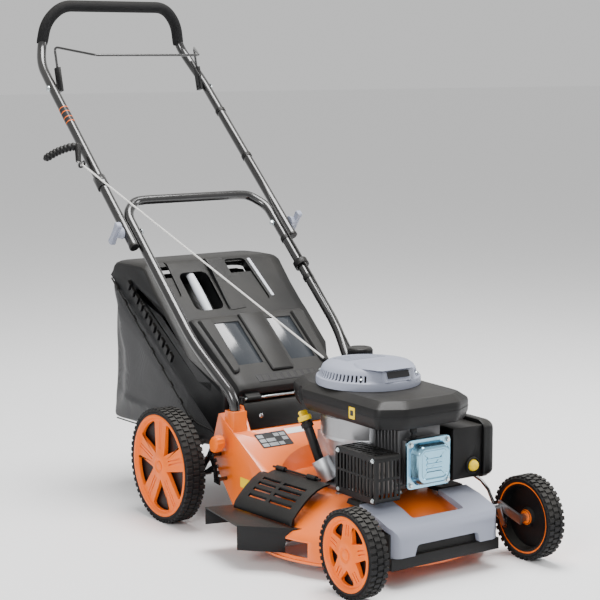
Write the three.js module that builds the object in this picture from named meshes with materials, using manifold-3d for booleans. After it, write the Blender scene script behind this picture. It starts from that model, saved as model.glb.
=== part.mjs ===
// Walk-behind rotary mower with a rear collector and a side deflector.
// Millimetres, +Z up, front towards -Y, the operator's right hand side towards -X, wheels standing on Z = 0.
import * as THREE from 'three';
import { mergeVertices } from 'three/addons/utils/BufferGeometryUtils.js';
import Module from 'manifold-3d';

const wasm = await Module();
wasm.setup();

// ---------------------------------------------------------------- driving sizes
const GAP = 0.4;                 // clearance kept between two pieces that touch

// wheels and axles
const FRONT_AXLE_Y = -260;
const REAR_AXLE_Y = 480;
const FRONT_RADIUS = 96;
const REAR_RADIUS = 140;
const FRONT_TYRE_WIDTH = 44;
const REAR_TYRE_WIDTH = 50;
const FRONT_HALF_TRACK = 266;    // to the outer face of the front wheels
const REAR_HALF_TRACK = 292;     // to the outer face of the rear wheels
const TYRE_DEPTH = 15;           // radial depth of the tread ring
const RIM_SHELL = 4;
const STUB_RADIUS = 6;
const AXLE_RADIUS = 6;
const ARM_REACH = 61;            // axle rod to wheel stub, level distance
const ARM_DROP = 16;             // axle rod above the wheel stub at the lowest cut
const CRANK = 38;                // lug that the link rod pulls

// deck
const DECK_Y = 20;               // blade and crankshaft axis
const DECK_RADIUS = 268;
const RIM_LIP = 4;
const RIM_Z = 30;
const SKIRT_TOP_Z = 80;
const PLATEAU_Z = 152;
const PLATEAU_RADIUS = 150;
const DECK_WALL = 4;
const HOUSING_HALF = 195;        // rear discharge housing, half width
const RECESS_RADIUS = 205;       // clearance pressed round the engine
const HINGE_Y = 335;
const HINGE_Z = 306;
const MOUTH_LOW = [396, 178];    // lower lip of the rear opening, y and z
const SHAFT_HOLE = 24;

// blade and crankshaft
const TIP_GAP = 18;                // blade tip to the outside of the deck
const BLADE_LENGTH = 2 * (DECK_RADIUS - TIP_GAP);
const BLADE_WIDTH = 52;
const BLADE_THICK = 4;
const BLADE_Z = 48;
const CRANK_RADIUS = 11;

// engine
const SHROUD_LOW_Z = 328;
const SHROUD_TOP_Z = 376;
const RECOIL_RADIUS = 120;
const RECOIL_TOP_Z = 440;
const COVER_HALF = 60;           // valve cover, half width
const COVER_FACE_Y = -225;
const COVER_LOW_Z = 190;
const COVER_TOP_Z = 300;
const FUEL_CAP = [98, 186];
const FUEL_CAP_RADIUS = 31;
const BULB = [143, 214];         // primer bulb, x and z
const BULB_RADIUS = 14;
const BULB_TRAVEL = 7;
const BULB_Y = -172;            // seat of the primer bulb

// handle
const TUBE = 25;
const LOWER_X = 212;             // lower handle tubes
const UPPER_X = LOWER_X + TUBE + 1;
const FOOT_X = 175;
const PIVOT = [719.5, 684.1];    // clamp bolts, y and z
const INCLINE = THREE.MathUtils.degToRad(41.4);
const BAIL_PIVOT = [1120, 1037];
const BAIL_WIRE = 6.5;
const FOAM = TUBE + 7;

// rope
const ROPE = 4.5;
const ROPE_START = new THREE.Vector3(-53, 121, 434);
const GUIDE = new THREE.Vector3(-280, 877, 849);
const GRIP_CENTRE = new THREE.Vector3(-301, 927, 886);

// collector
const BAG_HALF = 205;
const BAG_REAR_Y = 880;
const BAG_LOW_Z = REAR_RADIUS + 32;
const LID_TOP_Z = 604;
const FLAP_LENGTH = 262;
const FLAP_ANGLE = THREE.MathUtils.degToRad(37.5);

// ---------------------------------------------------------------- materials
const finish = (color, roughness, metalness = 0) =>
  new THREE.MeshStandardMaterial({ color, roughness, metalness });
const ORANGE = finish('#f26a12', 0.35, 0.1);
const BLACK = finish('#1c1c1f', 0.55);
const SATIN = finish('#3a3b40', 0.6);
const BLACK_STEEL = finish('#17171a', 0.35, 0.4);
const GREY = finish('#9ba0ad', 0.5);
const RUBBER = finish('#2a2a2d', 0.9);
const ZINC = finish('#b9c2c8', 0.3, 1);
const ALLOY = finish('#a7a8aa', 0.45, 1);
const STEEL = finish('#6f6f72', 0.4, 1);
const YELLOW = finish('#f6cf0c', 0.45);
const CLOTH = finish('#1a1a1c', 0.95);
const SMOKE = finish('#2a323c', 0.15);
const WHITE = finish('#e9e7e2', 0.8);
const CAST = finish('#4c4b4b', 0.6, 0.8);

// ---------------------------------------------------------------- solids
const signedVolume = (points, corners) => {
  let sum = 0;
  const [a, b, c] = [new THREE.Vector3(), new THREE.Vector3(), new THREE.Vector3()];
  for (let i = 0; i < corners.length; i += 3) {
    a.fromArray(points, corners[i] * 3);
    b.fromArray(points, corners[i + 1] * 3);
    c.fromArray(points, corners[i + 2] * 3);
    sum += a.dot(b.cross(c));
  }
  return sum;
};

const toSolid = (geometry) => {
  const bare = geometry.clone();
  for (const name of Object.keys(bare.attributes)) {
    if (name !== 'position') bare.deleteAttribute(name);
  }
  const merged = mergeVertices(bare, 1e-3);
  const points = new Float32Array(merged.attributes.position.array);
  const corners = new Uint32Array(merged.index.array);
  if (signedVolume(points, corners) < 0) corners.reverse();
  return new wasm.Manifold(new wasm.Mesh({ numProp: 3, vertProperties: points, triVerts: corners }));
};

const toGeometry = (solid) => {
  const mesh = solid.getMesh();
  const geometry = new THREE.BufferGeometry();
  geometry.setAttribute('position', new THREE.BufferAttribute(new Float32Array(mesh.vertProperties), 3));
  geometry.setIndex(new THREE.BufferAttribute(new Uint32Array(mesh.triVerts), 1));
  geometry.computeVertexNormals();
  return geometry;
};

const union = (...solids) => solids.reduce((sum, solid) => sum.add(solid));
const cut = (solid, ...tools) => tools.reduce((rest, tool) => rest.subtract(tool), solid);

const mower = new THREE.Group();
const addPart = (name, solid, material, home = mower) => {
  const mesh = new THREE.Mesh(toGeometry(solid), material);
  mesh.name = name;
  home.add(mesh);
};

// box between two corners
const block = (x0, x1, y0, y1, z0, z1) => {
  const geometry = new THREE.BoxGeometry(x1 - x0, y1 - y0, z1 - z0);
  geometry.translate((x0 + x1) / 2, (y0 + y1) / 2, (z0 + z1) / 2);
  return toSolid(geometry);
};

// straight round bar between two points
const bar = (from, to, radius, sides = 16, endRadius = radius) => {
  const start = new THREE.Vector3(...from);
  const run = new THREE.Vector3(...to).sub(start);
  const geometry = new THREE.CylinderGeometry(endRadius, radius, run.length(), sides);
  geometry.translate(0, run.length() / 2, 0);
  geometry.applyQuaternion(new THREE.Quaternion().setFromUnitVectors(
    new THREE.Vector3(0, 1, 0), run.clone().normalize()));
  geometry.translate(start.x, start.y, start.z);
  return toSolid(geometry);
};

// turned shape: profile of [radius, height] pairs, then its axis is laid along X, Y or Z
const turned = (profile, sides, axis = 'z') => {
  const geometry = new THREE.LatheGeometry(profile.map(([r, h]) => new THREE.Vector2(r, h)), sides);
  if (axis === 'z') geometry.rotateX(Math.PI / 2);
  if (axis === 'x') geometry.rotateZ(-Math.PI / 2);
  return geometry;
};
const turnedSolid = (profile, sides, axis, x, y, z) => {
  const geometry = turned(profile, sides, axis);
  geometry.translate(x, y, z);
  return toSolid(geometry);
};
const rectangle = (x0, x1, y0, y1) => [[x0, y0], [x1, y0], [x1, y1], [x0, y1]];

const outline = (points) => new THREE.Shape(points.map(([a, b]) => new THREE.Vector2(a, b)));

// plate with its outline in plan, between two heights
const plateZ = (points, z0, z1) => {
  const geometry = new THREE.ExtrudeGeometry(outline(points), { depth: z1 - z0, bevelEnabled: false });
  geometry.translate(0, 0, z0);
  return toSolid(geometry);
};
// plate with its outline in side view (y, z), between two x values
const plateX = (points, x0, x1) => {
  const geometry = new THREE.ExtrudeGeometry(outline(points), { depth: x1 - x0, bevelEnabled: false });
  geometry.applyMatrix4(new THREE.Matrix4().set(
    0, 0, 1, x0,
    1, 0, 0, 0,
    0, 1, 0, 0,
    0, 0, 0, 1));
  return toSolid(geometry);
};

// plate with its outline seen from the front (x, z), between two y values
const plateY = (points, y0, y1) => {
  const geometry = new THREE.ExtrudeGeometry(outline(points), { depth: y1 - y0, bevelEnabled: false });
  geometry.applyMatrix4(new THREE.Matrix4().set(
    1, 0, 0, 0,
    0, 0, 1, y0,
    0, 1, 0, 0,
    0, 0, 0, 1));
  return toSolid(geometry);
};
// plate lying on a slope: outline (x, distance up the slope), between two heights above it
const slopePlate = (points, low, high, [y, z], angle) => {
  const geometry = new THREE.ExtrudeGeometry(outline(points), { depth: high - low, bevelEnabled: false });
  geometry.translate(0, 0, low);
  geometry.rotateX(angle);
  geometry.translate(0, y, z);
  return toSolid(geometry);
};

// path through points with rounded corners
const roundedPath = (points, radius) => {
  const path = new THREE.CurvePath();
  const corner = points.map((point) => new THREE.Vector3(...point));
  let last = corner[0];
  for (let i = 1; i < corner.length - 1; i += 1) {
    const before = corner[i - 1].clone().sub(corner[i]);
    const after = corner[i + 1].clone().sub(corner[i]);
    const reach = Math.min(radius, before.length() * 0.48, after.length() * 0.48);
    const enter = corner[i].clone().add(before.setLength(reach));
    const leave = corner[i].clone().add(after.setLength(reach));
    if (last.distanceTo(enter) > 0.5) path.add(new THREE.LineCurve3(last, enter));
    path.add(new THREE.QuadraticBezierCurve3(enter, corner[i], leave));
    last = leave;
  }
  path.add(new THREE.LineCurve3(last, corner[corner.length - 1]));
  return path;
};

const ring = (radius, sides) => {
  const points = [];
  for (let i = 0; i < sides; i += 1) {
    const angle = (i / sides) * Math.PI * 2;
    points.push(new THREE.Vector2(radius * Math.cos(angle), radius * Math.sin(angle)));
  }
  return points;
};

// solid or hollow tube along a path
const tubeAlong = (path, radius, sides, steps, bore = 0) => {
  const shape = new THREE.Shape(ring(radius, sides));
  if (bore > 0) shape.holes.push(new THREE.Path(ring(bore, sides)));
  return toSolid(new THREE.ExtrudeGeometry(shape, { steps, extrudePath: path, bevelEnabled: false }));
};

// closed polygon moved inwards by a wall
const inset = (points, wall) => {
  const count = points.length;
  return points.map((point, i) => {
    const before = points[(i + count - 1) % count];
    const after = points[(i + 1) % count];
    const a = new THREE.Vector2(point[0] - before[0], point[1] - before[1]).normalize();
    const b = new THREE.Vector2(after[0] - point[0], after[1] - point[1]).normalize();
    const normalA = new THREE.Vector2(-a.y, a.x);
    const normalB = new THREE.Vector2(-b.y, b.x);
    const bisector = normalA.clone().add(normalB).normalize();
    const scale = wall / bisector.dot(normalA);
    return [point[0] + bisector.x * scale, point[1] + bisector.y * scale];
  });
};

const alongHandle = (x, distance, rise = 0) => [
  x,
  PIVOT[0] + Math.cos(INCLINE) * distance - Math.sin(INCLINE) * rise,
  PIVOT[1] + Math.sin(INCLINE) * distance + Math.cos(INCLINE) * rise,
];
const polar = (y, z, radius, degrees) => {
  const angle = THREE.MathUtils.degToRad(degrees);
  return [y + radius * Math.cos(angle), z + radius * Math.sin(angle)];
};
const SIDES = [['right', -1], ['left', 1]];

// rope line from the recoil cover through the guide
const ropeRun = GUIDE.clone().sub(ROPE_START).normalize();
const ropeLength = GUIDE.distanceTo(ROPE_START);
const onRope = (distance) => ROPE_START.clone().addScaledVector(ropeRun, distance).toArray();

// ---------------------------------------------------------------- deck
// round cutting chamber with a rear housing that rises to the collector
const SLOPE = 0.55;
const slopeZ = (y) => 231 + SLOPE * (y - 268);
const chamber = (grow) => turnedSolid([
  [0, RIM_Z - (grow ? 5 : 0)],
  [DECK_RADIUS - grow, RIM_Z - (grow ? 5 : 0)],
  [DECK_RADIUS - grow, SKIRT_TOP_Z - grow * 0.4],
  [DECK_RADIUS - 8 - grow, SKIRT_TOP_Z + 14 - grow * 0.8],
  [PLATEAU_RADIUS, PLATEAU_Z - grow],
  [0, PLATEAU_Z - grow],
], 64, 'z', 0, DECK_Y, 0);
const housingProfile = [
  [40, 45],
  [230, 45],
  [285, 56],
  MOUTH_LOW,
  [HINGE_Y + 14, HINGE_Z - 8],
  [HINGE_Y - 12, HINGE_Z - 8],
  [292, slopeZ(292)],
  [40, slopeZ(40)],
];
const innerHousing = inset(housingProfile, DECK_WALL);
const openHousing = innerHousing.map(([y, z], i) => {
  if (i === 3) return [y + 26, z + 11];
  if (i === 4) return [y + 26, z + 11];
  return [y, z];
});
const recess = (radius, z) => bar([0, DECK_Y, z], [0, DECK_Y, 400], radius, 64);
const channelY = FRONT_AXLE_Y + ARM_REACH;
const channelZ = FRONT_RADIUS + ARM_DROP;
const channel = (grow) => block(-300, 300, channelY - 11 - grow, channelY + 11 + grow, channelZ - 10 - grow, 300);
const SHOULDER_X = 152;            // beside the hinge panel the housing keeps to the front slope
const overShoulders = (wall) => {
  const outlineAbove = [
    [250, slopeZ(250) - wall],
    [420, slopeZ(420) - wall],
    [420, 420],
    [250, 420],
  ];
  return union(
    plateX(outlineAbove, -300, -SHOULDER_X + wall),
    plateX(outlineAbove, SHOULDER_X - wall, 300),
  );
};
const deckOuter = cut(
  union(
    chamber(0),
    turnedSolid([[0, RIM_Z], [DECK_RADIUS + RIM_LIP, RIM_Z], [DECK_RADIUS + RIM_LIP, RIM_Z + 5], [0, RIM_Z + 5]],
      64, 'z', 0, DECK_Y, 0),
    cut(plateX(housingProfile, -HOUSING_HALF, HOUSING_HALF), recess(RECESS_RADIUS, PLATEAU_Z)),
  ),
  channel(0),
  overShoulders(0),
);
const deckInner = cut(
  union(
    chamber(DECK_WALL),
    cut(plateX(openHousing, -HOUSING_HALF + DECK_WALL, HOUSING_HALF - DECK_WALL),
      recess(RECESS_RADIUS + DECK_WALL, PLATEAU_Z - DECK_WALL)),
  ),
  channel(DECK_WALL),
  overShoulders(DECK_WALL),
);
const chamberPlug = chamber(-GAP);
const deckPlug = union(
  chamberPlug,
  plateX(inset(housingProfile, -GAP), -HOUSING_HALF - GAP, HOUSING_HALF + GAP),
);
const sidePort = block(-320, -190, -90, 150, 42, 76);

// sockets for the feet of the lower handle
const FOOT_LIFT = 1.475;              // foot of the tube above the sloping deck
const FOOT_Y = 311;
const FOOT_LOW = [FOOT_Y, slopeZ(FOOT_Y + TUBE / 2) + FOOT_LIFT];
const FOOT_HIGH = [315, 322];
const SOCKET_TOP_Z = FOOT_HIGH[1] - 1.2 * TUBE;
const socket = (sign) => {
  const x = FOOT_X * sign;
  return cut(
    block(x - 18, x + 18, FOOT_LOW[0] - 20, FOOT_LOW[0] + 20, slopeZ(FOOT_LOW[0] - 20) - 3, SOCKET_TOP_Z),
    bar([x, FOOT_LOW[0], FOOT_LOW[1] - GAP], [x + 2 * sign, ...FOOT_HIGH], TUBE / 2 + 2 * GAP, 24),
  );
};
addPart('deck', cut(
  union(deckOuter, socket(-1), socket(1)),
  deckInner,
  sidePort,
  bar([0, DECK_Y, 100], [0, DECK_Y, 200], SHAFT_HOLE, 32),
), ORANGE);

// ---------------------------------------------------------------- deck fittings
// plate over the front of the rear flap hinge
const PANEL_HALF = 146;
const HINGE_X = 140;
const pinZ = HINGE_Z + 4;
const housingTop = HINGE_Z - 8;
const ear = (x0, x1) => block(x0, x1, HINGE_Y - 10, HINGE_Y + 8, housingTop + GAP, pinZ + 7);
addPart('hinge_panel', cut(
  union(
    plateX([
      [291.6, slopeZ(292) + 0.4],
      [HINGE_Y - 12.2, housingTop + GAP],
      [HINGE_Y - 4, housingTop + GAP],
      [HINGE_Y - 4, housingTop + 3.4],
      [HINGE_Y - 14.4, housingTop + 3.4],
      [289, slopeZ(292) + 2],
    ], -PANEL_HALF, PANEL_HALF),
    ear(-PANEL_HALF, -HINGE_X),
    ear(HINGE_X, PANEL_HALF),
  ),
  bar([-200, HINGE_Y, pinZ], [200, HINGE_Y, pinZ], 3 + GAP, 12),
), BLACK);
addPart('flap_hinge_pin', bar([-HINGE_X - 4, HINGE_Y, pinZ], [HINGE_X + 4, HINGE_Y, pinZ], 3, 12), ZINC);

// black lower apron and grey bumper with its carrying opening
const APRON_HALF = 150;
const noseY = DECK_Y - DECK_RADIUS;
addPart('bumper_base', cut(
  union(
    block(-APRON_HALF, APRON_HALF, noseY - 20, noseY - 2, 40, 66),
    block(-APRON_HALF, -112, noseY - 10, noseY + 58, 60, 118),
    block(112, APRON_HALF, noseY - 10, noseY + 58, 60, 118),
    block(-APRON_HALF, APRON_HALF, noseY - 10, noseY - 2, 60, 100),
  ),
  chamberPlug,
  channel(GAP),
), BLACK);
addPart('front_bumper', cut(
  plateX([
    [noseY - 26, 66.4],
    [noseY - 11, 66.4],
    [noseY - 11, 119],
    [-152, 152.4],
    [-152, 162],
    [noseY + 2, 137],
    [noseY - 20, 126],
  ], -APRON_HALF, APRON_HALF),
  block(-72, 72, noseY + 5, -100, 90, 200),
  block(-96, 96, noseY - 52, noseY - 2, 50, 88),
  block(-400, 400, noseY - 10.6, -189, 40, 118.4),
  chamberPlug,
), GREY);
// ---------------------------------------------------------------- axles and height adjuster
const LINK_X = 214;
const PIN = 3;
const axles = [
  { name: 'front', y: FRONT_AXLE_Y, radius: FRONT_RADIUS, width: FRONT_TYRE_WIDTH, half: FRONT_HALF_TRACK,
    rod: [channelY, channelZ], lug: 245 },
  { name: 'rear', y: REAR_AXLE_Y, radius: REAR_RADIUS, width: REAR_TYRE_WIDTH, half: REAR_HALF_TRACK,
    rod: [REAR_AXLE_Y - ARM_REACH, REAR_RADIUS + ARM_DROP], lug: 115 },
];
const lever = (from, to, half, x0, x1) => {
  const run = new THREE.Vector2(to[0] - from[0], to[1] - from[1]).normalize();
  const [a, b] = [run.x * half, run.y * half];
  return plateX([
    [from[0] - a + b, from[1] - b - a],
    [to[0] + a + b, to[1] + b - a],
    [to[0] + a - b, to[1] + b + a],
    [from[0] - a - b, from[1] - b + a],
  ], Math.min(x0, x1), Math.max(x0, x1));
};
for (const axle of axles) {
  const armX = axle.half - axle.width - 7;
  const stub = [axle.y, axle.radius];
  const pieces = [bar([-armX, ...axle.rod], [armX, ...axle.rod], AXLE_RADIUS, 16)];
  for (const [, sign] of SIDES) {
    pieces.push(lever(axle.rod, stub, 10, sign * (armX - 3), sign * (armX + 3)));
    pieces.push(bar([sign * armX, ...stub], [sign * (axle.half - 14), ...stub], STUB_RADIUS, 16));
    pieces.push(bar([sign * armX, ...stub], [sign * (axle.half - axle.width + 8 - GAP), ...stub], 10, 6));
  }
  const pin = polar(...axle.rod, CRANK, axle.lug);
  const lugX = LINK_X - 7;
  pieces.push(lever(axle.rod, pin, 6, lugX - 2, lugX + 2));
  pieces.push(bar([lugX, ...pin], [LINK_X + 4, ...pin], PIN, 12));
  addPart(`${axle.name}_axle`, union(...pieces), STEEL);
}

// link rod down the left side, with slotted eyes over the lug pins
const frontPin = polar(...axles[0].rod, CRANK, axles[0].lug);
const rearPin = polar(...axles[1].rod, CRANK, axles[1].lug);
const slot = (x0, x1, pin, half) => union(
  block(x0, x1, pin[0] - half, pin[0] + half, pin[1] - 4.2, pin[1] + 4.2),
  bar([x0, pin[0], pin[1] - 4.2], [x1, pin[0], pin[1] - 4.2], half, 16),
  bar([x0, pin[0], pin[1] + 4.2], [x1, pin[0], pin[1] + 4.2], half, 16),
);
addPart('link_rod', cut(
  union(
    tubeAlong(roundedPath([
      [LINK_X, frontPin[0] + 5, frontPin[1]],
      [LINK_X, frontPin[0] + 24, frontPin[1] + 4],
      [LINK_X, frontPin[0] + 64, 152],
      [LINK_X, frontPin[0] + 130, 168],
      [LINK_X, rearPin[0] - 60, rearPin[1] + 4],
      [LINK_X, rearPin[0] - 6, rearPin[1]],
    ], 30), 4, 8, 22),
    lever([frontPin[0], frontPin[1] - 5], [frontPin[0], frontPin[1] + 5], 7, LINK_X - 2, LINK_X + 2),
    lever([rearPin[0], rearPin[1] - 5], [rearPin[0], rearPin[1] + 5], 7, LINK_X - 2, LINK_X + 2),
  ),
  slot(LINK_X - 20, LINK_X + 20, frontPin, PIN + GAP),
  slot(LINK_X - 20, LINK_X + 20, rearPin, PIN + GAP),
), BLACK_STEEL);

// lever with its ribbed knob, and the notch plate it clicks into
const LEVER_PIVOT = [395, 128];
const LEVER_X = -228;
const LEVER_ANGLE = 131.5;
const KNOB_RADIUS = 118;
const leverPlate = (half, x0, x1) =>
  lever(LEVER_PIVOT, polar(...LEVER_PIVOT, KNOB_RADIUS - 12, LEVER_ANGLE), half, x0, x1);
addPart('height_lever', cut(
  leverPlate(8, LEVER_X - 1.5, LEVER_X + 1.5),
  bar([-260, ...LEVER_PIVOT], [-150, ...LEVER_PIVOT], 5 + GAP, 16),
), BLACK_STEEL);
const knobProfile = [];
for (let i = 0; i < 20; i += 1) {
  const angle = (i / 20) * Math.PI * 2;
  const [alongY, alongZ] = polar(...LEVER_PIVOT, KNOB_RADIUS + Math.cos(angle) * 24, LEVER_ANGLE);
  const [acrossY, acrossZ] = polar(0, 0, Math.sin(angle) * 18, LEVER_ANGLE + 90);
  knobProfile.push([alongY + acrossY, alongZ + acrossZ]);
}
addPart('height_knob', cut(
  plateX(knobProfile, LEVER_X - 9, LEVER_X + 17),
  leverPlate(8 + GAP, LEVER_X - 1.5 - GAP, LEVER_X + 1.5 + GAP),
), ORANGE);
const NOTCH_INNER = 64;
const NOTCH_OUTER = 90;
const notchPlan = [];
for (let i = 0; i <= 10; i += 1) notchPlan.push(polar(...LEVER_PIVOT, NOTCH_OUTER, 122 + i * 6.4));
for (let i = 10; i >= 0; i -= 1) notchPlan.push(polar(...LEVER_PIVOT, NOTCH_INNER, 122 + i * 6.4));
const notchX = LEVER_X + 1.5 + GAP;
const notches = [];
for (let i = 0; i < 5; i += 1) {
  const angle = LEVER_ANGLE + i * 10;
  notches.push(lever(polar(...LEVER_PIVOT, NOTCH_OUTER - 6, angle), polar(...LEVER_PIVOT, NOTCH_OUTER, angle),
    3, -250, -200));
}
const notchPost = (angle) => bar(
  [-HOUSING_HALF - GAP, ...polar(...LEVER_PIVOT, 72, angle)],
  [notchX + 2, ...polar(...LEVER_PIVOT, 72, angle)], 5, 12);
addPart('notch_plate', cut(
  union(
    plateX(notchPlan, notchX, notchX + 3),
    plateX([
      LEVER_PIVOT,
      polar(...LEVER_PIVOT, NOTCH_INNER + 2, 150),
      polar(...LEVER_PIVOT, NOTCH_INNER + 2, 165),
    ], notchX, notchX + 3),
    notchPost(130),
    notchPost(180),
    bar([-HOUSING_HALF - GAP, ...LEVER_PIVOT], [LEVER_X - 3, ...LEVER_PIVOT], 5, 16),
    bar([notchX, ...LEVER_PIVOT], [notchX + 3, ...LEVER_PIVOT], 10, 16),
    bar([LEVER_X - 1.5 - GAP, ...LEVER_PIVOT], [LEVER_X - 4, ...LEVER_PIVOT], 8, 6),
  ),
  ...notches,
), BLACK_STEEL);

// ---------------------------------------------------------------- wheels
// each wheel is drawn with its outer face towards +X and turned round for the right hand side
const hubRadius = 17;
const TYRE_SIDES = 40;
for (const axle of axles) {
  const { width } = axle;
  const rimRadius = axle.radius - TYRE_DEPTH;
  const barrel = rimRadius * Math.cos(Math.PI / TYRE_SIDES) - GAP / 20;  // clears the flats of the tyre
  const bore = STUB_RADIUS + GAP;
  const tyreProfile = [
    [rimRadius, -width],
    [axle.radius - 4, -width],
    [axle.radius, -width + 4],
    [axle.radius, -4],
    [axle.radius - 4, 0],
    [rimRadius, 0],
    [rimRadius, -width],
  ];
  const rimProfile = [
    [0, -8],
    [bore, -8],
    [bore, -width + 8],
    [hubRadius, -width + 8],
    [hubRadius + 2, -14],
    [barrel - RIM_SHELL - 3, -12],
    [barrel - RIM_SHELL, -width + 3],
    [barrel, -width + 3],
    [barrel, -1],
    [barrel - 7, -1],
    [barrel - 10, -5],
    [hubRadius + 12, -3],
    [hubRadius, 0],
    [0, 0],
  ];
  const windows = [];
  for (let i = 0; i < 5; i += 1) {
    const turn = i * 72 + 126;
    const near = hubRadius + 16;
    const far = barrel - 15;
    windows.push(plateX([
      polar(0, 0, near, turn),
      polar(0, 0, far, turn - 20),
      polar(0, 0, far + 3, turn),
      polar(0, 0, far, turn + 20),
    ], -30, 10));
  }
  for (const [side, sign] of SIDES) {
    const wheel = new THREE.Group();
    wheel.position.set(sign * axle.half, axle.y, axle.radius);
    wheel.rotation.z = sign < 0 ? Math.PI : 0;
    mower.add(wheel);
    addPart(`${axle.name}_tyre_${side}`, turnedSolid(tyreProfile, TYRE_SIDES, 'x', 0, 0, 0), RUBBER, wheel);
    addPart(`${axle.name}_rim_${side}`, cut(turnedSolid(rimProfile, 30, 'x', 0, 0, 0), ...windows), ORANGE, wheel);
  }
}

// ---------------------------------------------------------------- blade
const bladeTop = BLADE_Z + BLADE_THICK;
addPart('crankshaft', cut(
  turnedSolid([
    [0, bladeTop + GAP],
    [28, bladeTop + GAP],
    [28, bladeTop + 7],
    [19, bladeTop + 12],
    [19, bladeTop + 34],
    [CRANK_RADIUS, bladeTop + 36],
    [CRANK_RADIUS, SHROUD_LOW_Z - 20],
    [0, SHROUD_LOW_Z - 20],
  ], 24, 'z', 0, DECK_Y, 0),
  bar([0, DECK_Y, 0], [0, DECK_Y, bladeTop + 30], 5 + GAP, 16),
), STEEL);
const half = BLADE_LENGTH / 2;
addPart('blade', cut(
  union(
    block(-half, half, DECK_Y - BLADE_WIDTH / 2, DECK_Y + BLADE_WIDTH / 2, BLADE_Z, BLADE_Z + BLADE_THICK),
    plateX([
      [DECK_Y + BLADE_WIDTH / 2 - 6, BLADE_Z],
      [DECK_Y + BLADE_WIDTH / 2, BLADE_Z],
      [DECK_Y + BLADE_WIDTH / 2 + 9, BLADE_Z + 13],
      [DECK_Y + BLADE_WIDTH / 2 + 4, BLADE_Z + 14],
    ], half - 85, half - 4),
    plateX([
      [DECK_Y - BLADE_WIDTH / 2 + 6, BLADE_Z],
      [DECK_Y - BLADE_WIDTH / 2 - 4, BLADE_Z + 14],
      [DECK_Y - BLADE_WIDTH / 2 - 9, BLADE_Z + 13],
      [DECK_Y - BLADE_WIDTH / 2, BLADE_Z],
    ], -half + 4, -half + 85),
  ),
  bar([0, DECK_Y, 0], [0, DECK_Y, 100], 5 + GAP, 16),
), STEEL);
addPart('blade_bolt', union(
  bar([0, DECK_Y, BLADE_Z - 11], [0, DECK_Y, BLADE_Z - GAP], 15, 6),
  bar([0, DECK_Y, BLADE_Z - 2], [0, DECK_Y, bladeTop + 28], 5, 16),
), ZINC);

// ---------------------------------------------------------------- engine
const engineBase = PLATEAU_Z + GAP;
const BLOWER_RADIUS = 106;
const FILLER_SEAT = [-106, 60, 214];
const FILLER_LOW = new THREE.Vector3(-105, 58, 203);
const FILLER_TOP = new THREE.Vector3(-122, 95, 300);
const fillerRun = FILLER_TOP.clone().sub(FILLER_LOW).normalize();
const onFiller = (distance) => FILLER_LOW.clone().addScaledVector(fillerRun, distance).toArray();
const fillerLength = FILLER_TOP.distanceTo(FILLER_LOW);
const DIPSTICK_RADIUS = 16;
addPart('crankcase', cut(
  union(
    bar([0, DECK_Y, engineBase], [0, DECK_Y, engineBase + 10], 104, 32),
    block(-82, 82, -70, 106, engineBase, 272),
    bar([0, DECK_Y, 268], [0, DECK_Y, SHROUD_LOW_Z - GAP], BLOWER_RADIUS, 40),
    bar([-92, 36, 170], FILLER_SEAT, 22, 20),
  ),
  bar([0, DECK_Y, 0], [0, DECK_Y, 400], CRANK_RADIUS + 1, 24),
  bar(onFiller(-4), onFiller(60), 12.6, 20),
), ALLOY);
const finSolids = [];
for (let i = 0; i < 8; i += 1) {
  const y = -82 - i * 12;
  finSolids.push(block(-58, 58, y - 3, y, 196, 316));
}
addPart('cylinder', cut(
  union(
    block(-40, 40, -178, -70 - GAP, 212, 298),
    block(-52, 52, -196, -176, 198, 296),
    ...finSolids,
  ),
  bar([0, DECK_Y, 260], [0, DECK_Y, 400], BLOWER_RADIUS + GAP, 40),
), CAST);
const coverBulge = [[-48, 216], [-34, 200], [34, 200], [48, 216], [48, 274], [34, 290], [-34, 290], [-48, 274]];
addPart('valve_cover', union(
  block(-COVER_HALF, COVER_HALF, -204, -196 - GAP, COVER_LOW_Z, COVER_TOP_Z),
  plateY(coverBulge, COVER_FACE_Y, -203),
), ZINC);
addPart('spark_plug', union(
  bar([-30, -187, 296 + GAP], [-30, -187, 305], 7.5, 6),
  bar([-30, -187, 304], [-30, -187, 314], 5, 12),
  bar([-30, -187, 313], [-30, -187, 326], 8, 12),
), BLACK);

// muffler in its slotted guard on the right
const guardBars = [];
for (let i = 0; i < 9; i += 1) {
  const y = -200 + i * 15;
  guardBars.push(block(-160, -140, y, y + 7, 186, 262));
}
for (let i = 0; i < 5; i += 1) {
  const x = -141 + i * 13;
  guardBars.push(block(x, x + 7, -230, -200, 184, 262));
}
addPart('muffler', union(
  block(-136, -86, -190, -82, 186, 262),
  bar([-90, -120, 240], [-59, -120, 240], 12, 16),
), STEEL);
addPart('muffler_guard', cut(
  block(-150, -83, -210, -62, 172, 277),
  block(-147, -60, -207, -65, 160, 274),
  ...guardBars,
), BLACK);

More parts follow.
